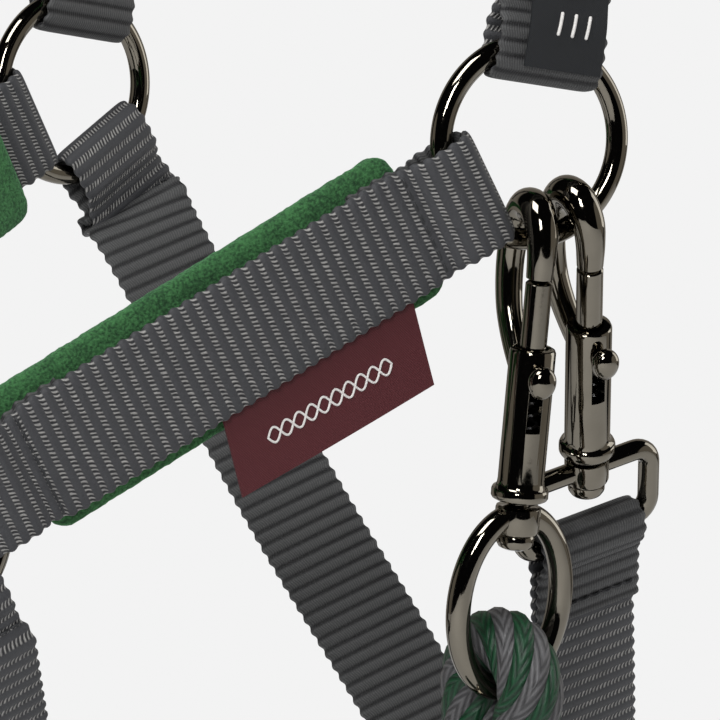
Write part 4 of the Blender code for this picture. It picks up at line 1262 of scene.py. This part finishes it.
def make_size_label(black, cream):
    """The dark tab over the near upper strap, with three plain woven bars."""
    outward = throat_outward(NEAR)
    way = in_plane(upper_way(NEAR), outward)
    across = facing(way.cross(outward), X)
    out = RING_BAR + LOOP_GAP + WEB_THICK + GAP + LABEL_THICK
    length, width = SIZE_LABEL_LENGTH, SIZE_LABEL_WIDTH
    corner = THROAT[NEAR] + way * 14.6 * MM + across * (2 * MM - width / 2)

    def place(a, b, extra):
        return corner + way * a + across * b + outward * (out + extra), outward

    def bow(a, b):
        return -1.5 * MM * smooth_share((a - 8 * MM) / (9 * MM)) + 0.15 * MM * math.sin(6 * b / width)

    label = dress("size_label", "cloth", label_mesh("size_label", place, length, width, bow), black)
    for number in range(3):
        points = []
        for k in range(13):
            a, b = (7.2 + 4.2 * k / 12) * MM, (6.2 + 3.2 * number + 0.5 * k / 12) * MM
            points.append(place(a, b, bow(a, b))[0])
        thread_line(f"size_label_bar_{number}", points, outward, cream, 0.36 * MM, "black_label")


# ---- snap hooks ----

def stud_way(snap):
    return on_circle(STUD_TURN, -snap.inward, facing(snap.side, -X))


def make_snap_body(snap, metal):
    profile = ((COLLAR_END, COLLAR_RADIUS - 0.7 * MM), (COLLAR_END - 0.25 * MM, COLLAR_RADIUS - 0.2 * MM),
               (COLLAR_END - 0.6 * MM, COLLAR_RADIUS), (BARREL_END + 0.7 * MM, COLLAR_RADIUS),
               (BARREL_END + 0.25 * MM, COLLAR_RADIUS - 0.2 * MM), (BARREL_END, BARREL_RADIUS + 0.45 * MM),
               (BARREL_END - 0.5 * MM, BARREL_RADIUS + 0.1 * MM), (BARREL_END - 1.5 * MM, BARREL_RADIUS),
               (BARREL_TOP + 0.9 * MM, BARREL_RADIUS), (BARREL_TOP + 0.3 * MM, BARREL_RADIUS - 0.25 * MM),
               (BARREL_TOP, BARREL_RADIUS - 0.8 * MM))
    barrel = turned_mesh(f"{snap.name}_barrel", profile, snap.top, snap.down, 72)
    points = smooth_line([snap.at(u * MM, p * MM) for p, u, _ in HOOK_LINE], 7)
    radii = [v.x for v in smooth_line([Vector((r * MM, 0, 0)) for _, _, r in HOOK_LINE], 7)]
    hook = tube_mesh(f"{snap.name}_hook", points, radii, snap.side, sides=32)
    bore_profile = ((BARREL_TOP - 2 * MM, BORE_RADIUS), (BORE_END, BORE_RADIUS))
    bore = turned_mesh("bore", bore_profile, snap.top, snap.down, 48)
    low, high = STUD_AT - SLOT_HALF_WIDTH, STUD_AT + BOLT_TRAVEL + SLOT_HALF_WIDTH
    outward = stud_way(snap)
    axes, sizes = (snap.down.cross(outward), outward, snap.down), (SLOT_HALF_WIDTH, 4 * MM, (high - low) / 2)
    slot = block_mesh("slot", snap.at((low + high) / 2) + outward * 5 * MM, axes, sizes)
    mesh = combined(barrel, ("UNION", hook), ("DIFFERENCE", bore), ("DIFFERENCE", slot))
    dress(f"{snap.name}_body", "cast", creased(mesh), metal)


def egg_mesh(name, centre, axes, halves):
    """A smooth egg, blunter on top, for the thumb stud."""
    rows, sides = 24, 40
    rings = []
    for i in range(rows + 1):
        angle = math.pi * (i + 0.02) / (rows + 0.04)
        height = -math.cos(angle) * halves[2]
        width = math.sin(angle) ** 0.9
        ring = []
        for j in range(sides):
            turn = 2 * math.pi * j / sides
            long_way = math.sin(turn) * halves[1] * (1.12 if math.sin(turn) > 0 else 0.95)
            ring.append(tuple(centre + axes[2] * height + width * (axes[0] * math.cos(turn) * halves[0]
                                                                   + axes[1] * long_way)))
        rings.append(ring)
    return skin(name, np.array(rings))


def make_bolt(snap, metal):
    profile = ((BOLT_TOP, BOLT_RADIUS * 0.45), (BOLT_TOP + 0.25 * MM, BOLT_RADIUS * 0.8),
               (BOLT_TOP + 0.8 * MM, BOLT_RADIUS), (BOLT_END - 0.2 * MM, BOLT_RADIUS),
               (BOLT_END, BOLT_RADIUS - 0.2 * MM))
    bolt = turned_mesh(f"{snap.name}_bolt", profile, snap.top, snap.down, 48)
    outward = stud_way(snap)
    base = snap.at(STUD_AT)
    neck = turned_mesh("neck", ((0, STUD_NECK), (STUD_OUT + MM, STUD_NECK)), base, outward, 24)
    axes = (snap.down.cross(outward), snap.down, outward)
    egg = egg_mesh("stud", base + outward * (STUD_OUT + 0.9 * MM), axes, STUD_HALF)
    mesh = combined(bolt, ("UNION", neck), ("UNION", egg))
    dress(f"{snap.name}_bolt", "turned", creased(mesh), metal)


def make_pin(snap, metal):
    profile = ((COLLAR_END + GAP, PIN_RADIUS), (BOSS_END + GAP, PIN_RADIUS),
               (BOSS_END + GAP, PIN_HEAD_RADIUS - 0.2 * MM),
               (BOSS_END + GAP + 0.3 * MM, PIN_HEAD_RADIUS), (PIN_END - 1.2 * MM, PIN_HEAD_RADIUS),
               (PIN_END - 0.5 * MM, PIN_HEAD_RADIUS - 0.4 * MM),
               (PIN_END - 0.1 * MM, PIN_HEAD_RADIUS - 1.3 * MM),
               (PIN_END, PIN_HEAD_RADIUS - 2.6 * MM))
    mesh = turned_mesh(f"{snap.name}_pin", profile, snap.top, snap.down)
    dress(f"{snap.name}_pin", "turned", creased(mesh), metal)


def make_eye(snap, across, outline, radius, metal):
    eye = tube_mesh(f"{snap.name}_eye", outline, radius, across.cross(snap.down), closed=True, sides=32)
    profile = ((BOSS_TOP, BOSS_RADIUS - 0.5 * MM), (BOSS_TOP + 0.2 * MM, BOSS_RADIUS - 0.1 * MM),
               (BOSS_TOP + 0.6 * MM, BOSS_RADIUS), (BOSS_END - 0.6 * MM, BOSS_RADIUS),
               (BOSS_END - 0.2 * MM, BOSS_RADIUS - 0.15 * MM), (BOSS_END, BOSS_RADIUS - 0.5 * MM))
    boss = turned_mesh("boss", profile, snap.top, snap.down, 64)
    bore_profile = ((BOSS_TOP - 5 * MM, BOSS_BORE), (BOSS_END + 3 * MM, BOSS_BORE))
    bore = turned_mesh("bore", bore_profile, snap.top, snap.down, 40)
    mesh = combined(eye, ("UNION", boss), ("DIFFERENCE", bore))
    dress(f"{snap.name}_eye", "cast", creased(mesh), metal)


def make_snaps(metal):
    for snap in (LEAD, THROAT_SNAP):
        make_snap_body(snap, metal)
        make_bolt(snap, metal)
        make_pin(snap, metal)
    across = in_plane(X, LEAD.down)
    half = (eye_at(LEAD) - OVAL_TOP_AT) / 2
    centre = LEAD.at(OVAL_TOP_AT + half)
    outline = [centre + way for way in circle(OUTLINE_STEPS, across * OVAL_HALF_WIDTH, LEAD.down * half)]
    make_eye(LEAD, across, outline, OVAL_BAR, metal)
    across = in_plane(LASH_WIDTH_WAY, THROAT_SNAP.down)
    half = (eye_at(THROAT_SNAP) - FRAME_EYE_TOP_AT) / 2
    outline = rounded_rectangle(THROAT_SNAP.at(FRAME_EYE_TOP_AT + half), across, THROAT_SNAP.down,
                                FRAME_EYE_HALF_WIDTH, half, 4 * MM)
    make_eye(THROAT_SNAP, across, even_points(outline, 0.8 * MM, closed=True), FRAME_EYE_BAR, metal)


# ---- stage ----

def make_camera():
    data = bpy.data.cameras.new("camera")
    data.lens = CAMERA_LENS
    data.sensor_width = 36
    data.clip_start, data.clip_end = 0.05, 60
    camera = bpy.data.objects.new("camera", data)
    bpy.context.scene.collection.objects.link(camera)
    right, up = CAMERA_OFFSET
    camera.location = THROAT[NEAR] - CAMERA_RIGHT * right - CAMERA_UP * up - CAMERA_FORWARD * CAMERA_DISTANCE
    axes = Matrix((CAMERA_RIGHT, CAMERA_UP, -CAMERA_FORWARD)).transposed()
    camera.rotation_euler = axes.to_euler()
    bpy.context.scene.camera = camera
    bpy.context.scene.view_settings.view_transform = "Standard"


def floor_material():
    """Pale and matt below the object, and as bright as the backdrop further out, so that no edge shows."""
    material, tree, shader = new_material("pale_floor", 0.9)
    shader.inputs["Base Color"].default_value = (0.86, 0.86, 0.86, 1)
    shader.inputs["Specular IOR Level"].default_value = 0.0
    distance = tree.vector("LENGTH", tree.vector("MULTIPLY", tree.place(), (1.0, 1.0, 0.0)))
    glow = tree.node("ShaderNodeEmission", Color=(BACKGROUND, BACKGROUND, BACKGROUND))
    seen = tree.nodes.new("ShaderNodeLightPath").outputs["Is Camera Ray"]
    mixed = tree.nodes.new("ShaderNodeMixShader")
    far = tree.step(distance, *FLOOR_FADE)
    for socket, value in zip(mixed.inputs, (tree.times(far, seen), shader.outputs[0], glow.outputs[0])):
        tree.put(socket, value)
    tree.links.new(mixed.outputs[0], tree.nodes["Material Output"].inputs[0])
    return material


def make_floor():
    mesh = bpy.data.meshes.new("floor")
    height = LOWEST - FLOOR_DROP
    corners = [(x * FLOOR_HALF, y * FLOOR_HALF, height) for x, y in ((-1, -1), (1, -1), (1, 1), (-1, 1))]
    mesh.from_pydata(corners, [], [(0, 1, 2, 3)])
    mesh.materials.append(floor_material())
    floor = bpy.data.objects.new("floor", mesh)
    bpy.context.scene.collection.objects.link(floor)


def make_world():
    """A plain pale studio. Polished metal sees its dark side behind the camera and its bright side walls."""
    world = bpy.data.worlds.new("studio")
    bpy.context.scene.world = world
    world.use_nodes = True
    tree = Tree(world.node_tree)
    for old in list(tree.nodes):
        tree.nodes.remove(old)
    way = tree.nodes.new("ShaderNodeTexCoord").outputs["Generated"]
    level = Vector((CAMERA_FORWARD.x, CAMERA_FORWARD.y, 0)).normalized()
    right = tree.vector("DOT_PRODUCT", way, tuple(CAMERA_RIGHT))
    ahead = tree.vector("DOT_PRODUCT", way, tuple(level))
    side_wall = tree.step(right, 0.86, 0.89)
    back_wall = tree.step(ahead, 0.55, 0.62)
    left_wall = tree.step(tree.math("MULTIPLY", right, -1.0), 0.94, 0.96)
    lit = tree.math("MAXIMUM", tree.math("MAXIMUM", side_wall, back_wall), left_wall)
    glossy = tree.mix(lit, (0.006, 0.006, 0.007), (0.36, 0.335, 0.30))
    path = tree.nodes.new("ShaderNodeLightPath")
    soft = tree.mix(path.outputs["Is Glossy Ray"], (0.40, 0.40, 0.41), glossy)
    colour = tree.mix(path.outputs["Is Camera Ray"], soft, (BACKGROUND, BACKGROUND, BACKGROUND))
    background = tree.node("ShaderNodeBackground", Color=colour)
    output = tree.nodes.new("ShaderNodeOutputWorld")
    tree.links.new(background.outputs[0], output.inputs[0])


def add_light(name, offset, size, energy, target):
    """A soft panel placed by its (right, up, back) offset from target, facing it."""
    data = bpy.data.lights.new(name, "AREA")
    data.shape = "RECTANGLE"
    data.size, data.size_y = size
    data.energy = energy
    light = bpy.data.objects.new(name, data)
    bpy.context.scene.collection.objects.link(light)
    right, up, back = offset
    light.location = target + CAMERA_RIGHT * right + Z * up - CAMERA_FORWARD * back
    light.rotation_euler = (target - light.location).to_track_quat("-Z", "Y").to_euler()


def make_lights():
    for light in LIGHTS:
        add_light(*light, THROAT[NEAR])


def main():
    make_camera()
    metal, web = nickel_material(), webbing_material()
    green, grey = rope_material("green_rope", ROPE_GREEN), rope_material("grey_rope", ROPE_GREY)
    thread = thread_material("dark_thread", DARK_THREAD)
    make_rope(green, grey, thread, web, metal)

    plush = plush_material()
    make_rings(metal)
    for side in (NEAR, FAR):
        make_cheek(side, web, plush, thread)
        make_upper(side, web, metal, thread)
    make_noseband(web, plush, thread)
    make_chin_straps(web, thread)
    make_jowl_strap(web, thread)
    make_throat_lash(web, thread)
    make_crown(web, plush)
    cream = thread_material("cream_thread", CREAM_THREAD)
    make_side_label(label_material("maroon_label", MAROON, 2.4), cream)
    make_size_label(label_material("black_label", BLACK, 3.0), cream)
    make_snaps(metal)
    steel = speckled_material("spring_steel", STEEL, 500.0, 0.3, metallic=1.0)
    for node in ("lead_snap_spring", "throat_snap_spring"):
        materials = frame["nodes"][node].data.materials
        materials.clear()
        materials.append(steel)

    make_floor()
    make_world()
    make_lights()


main()
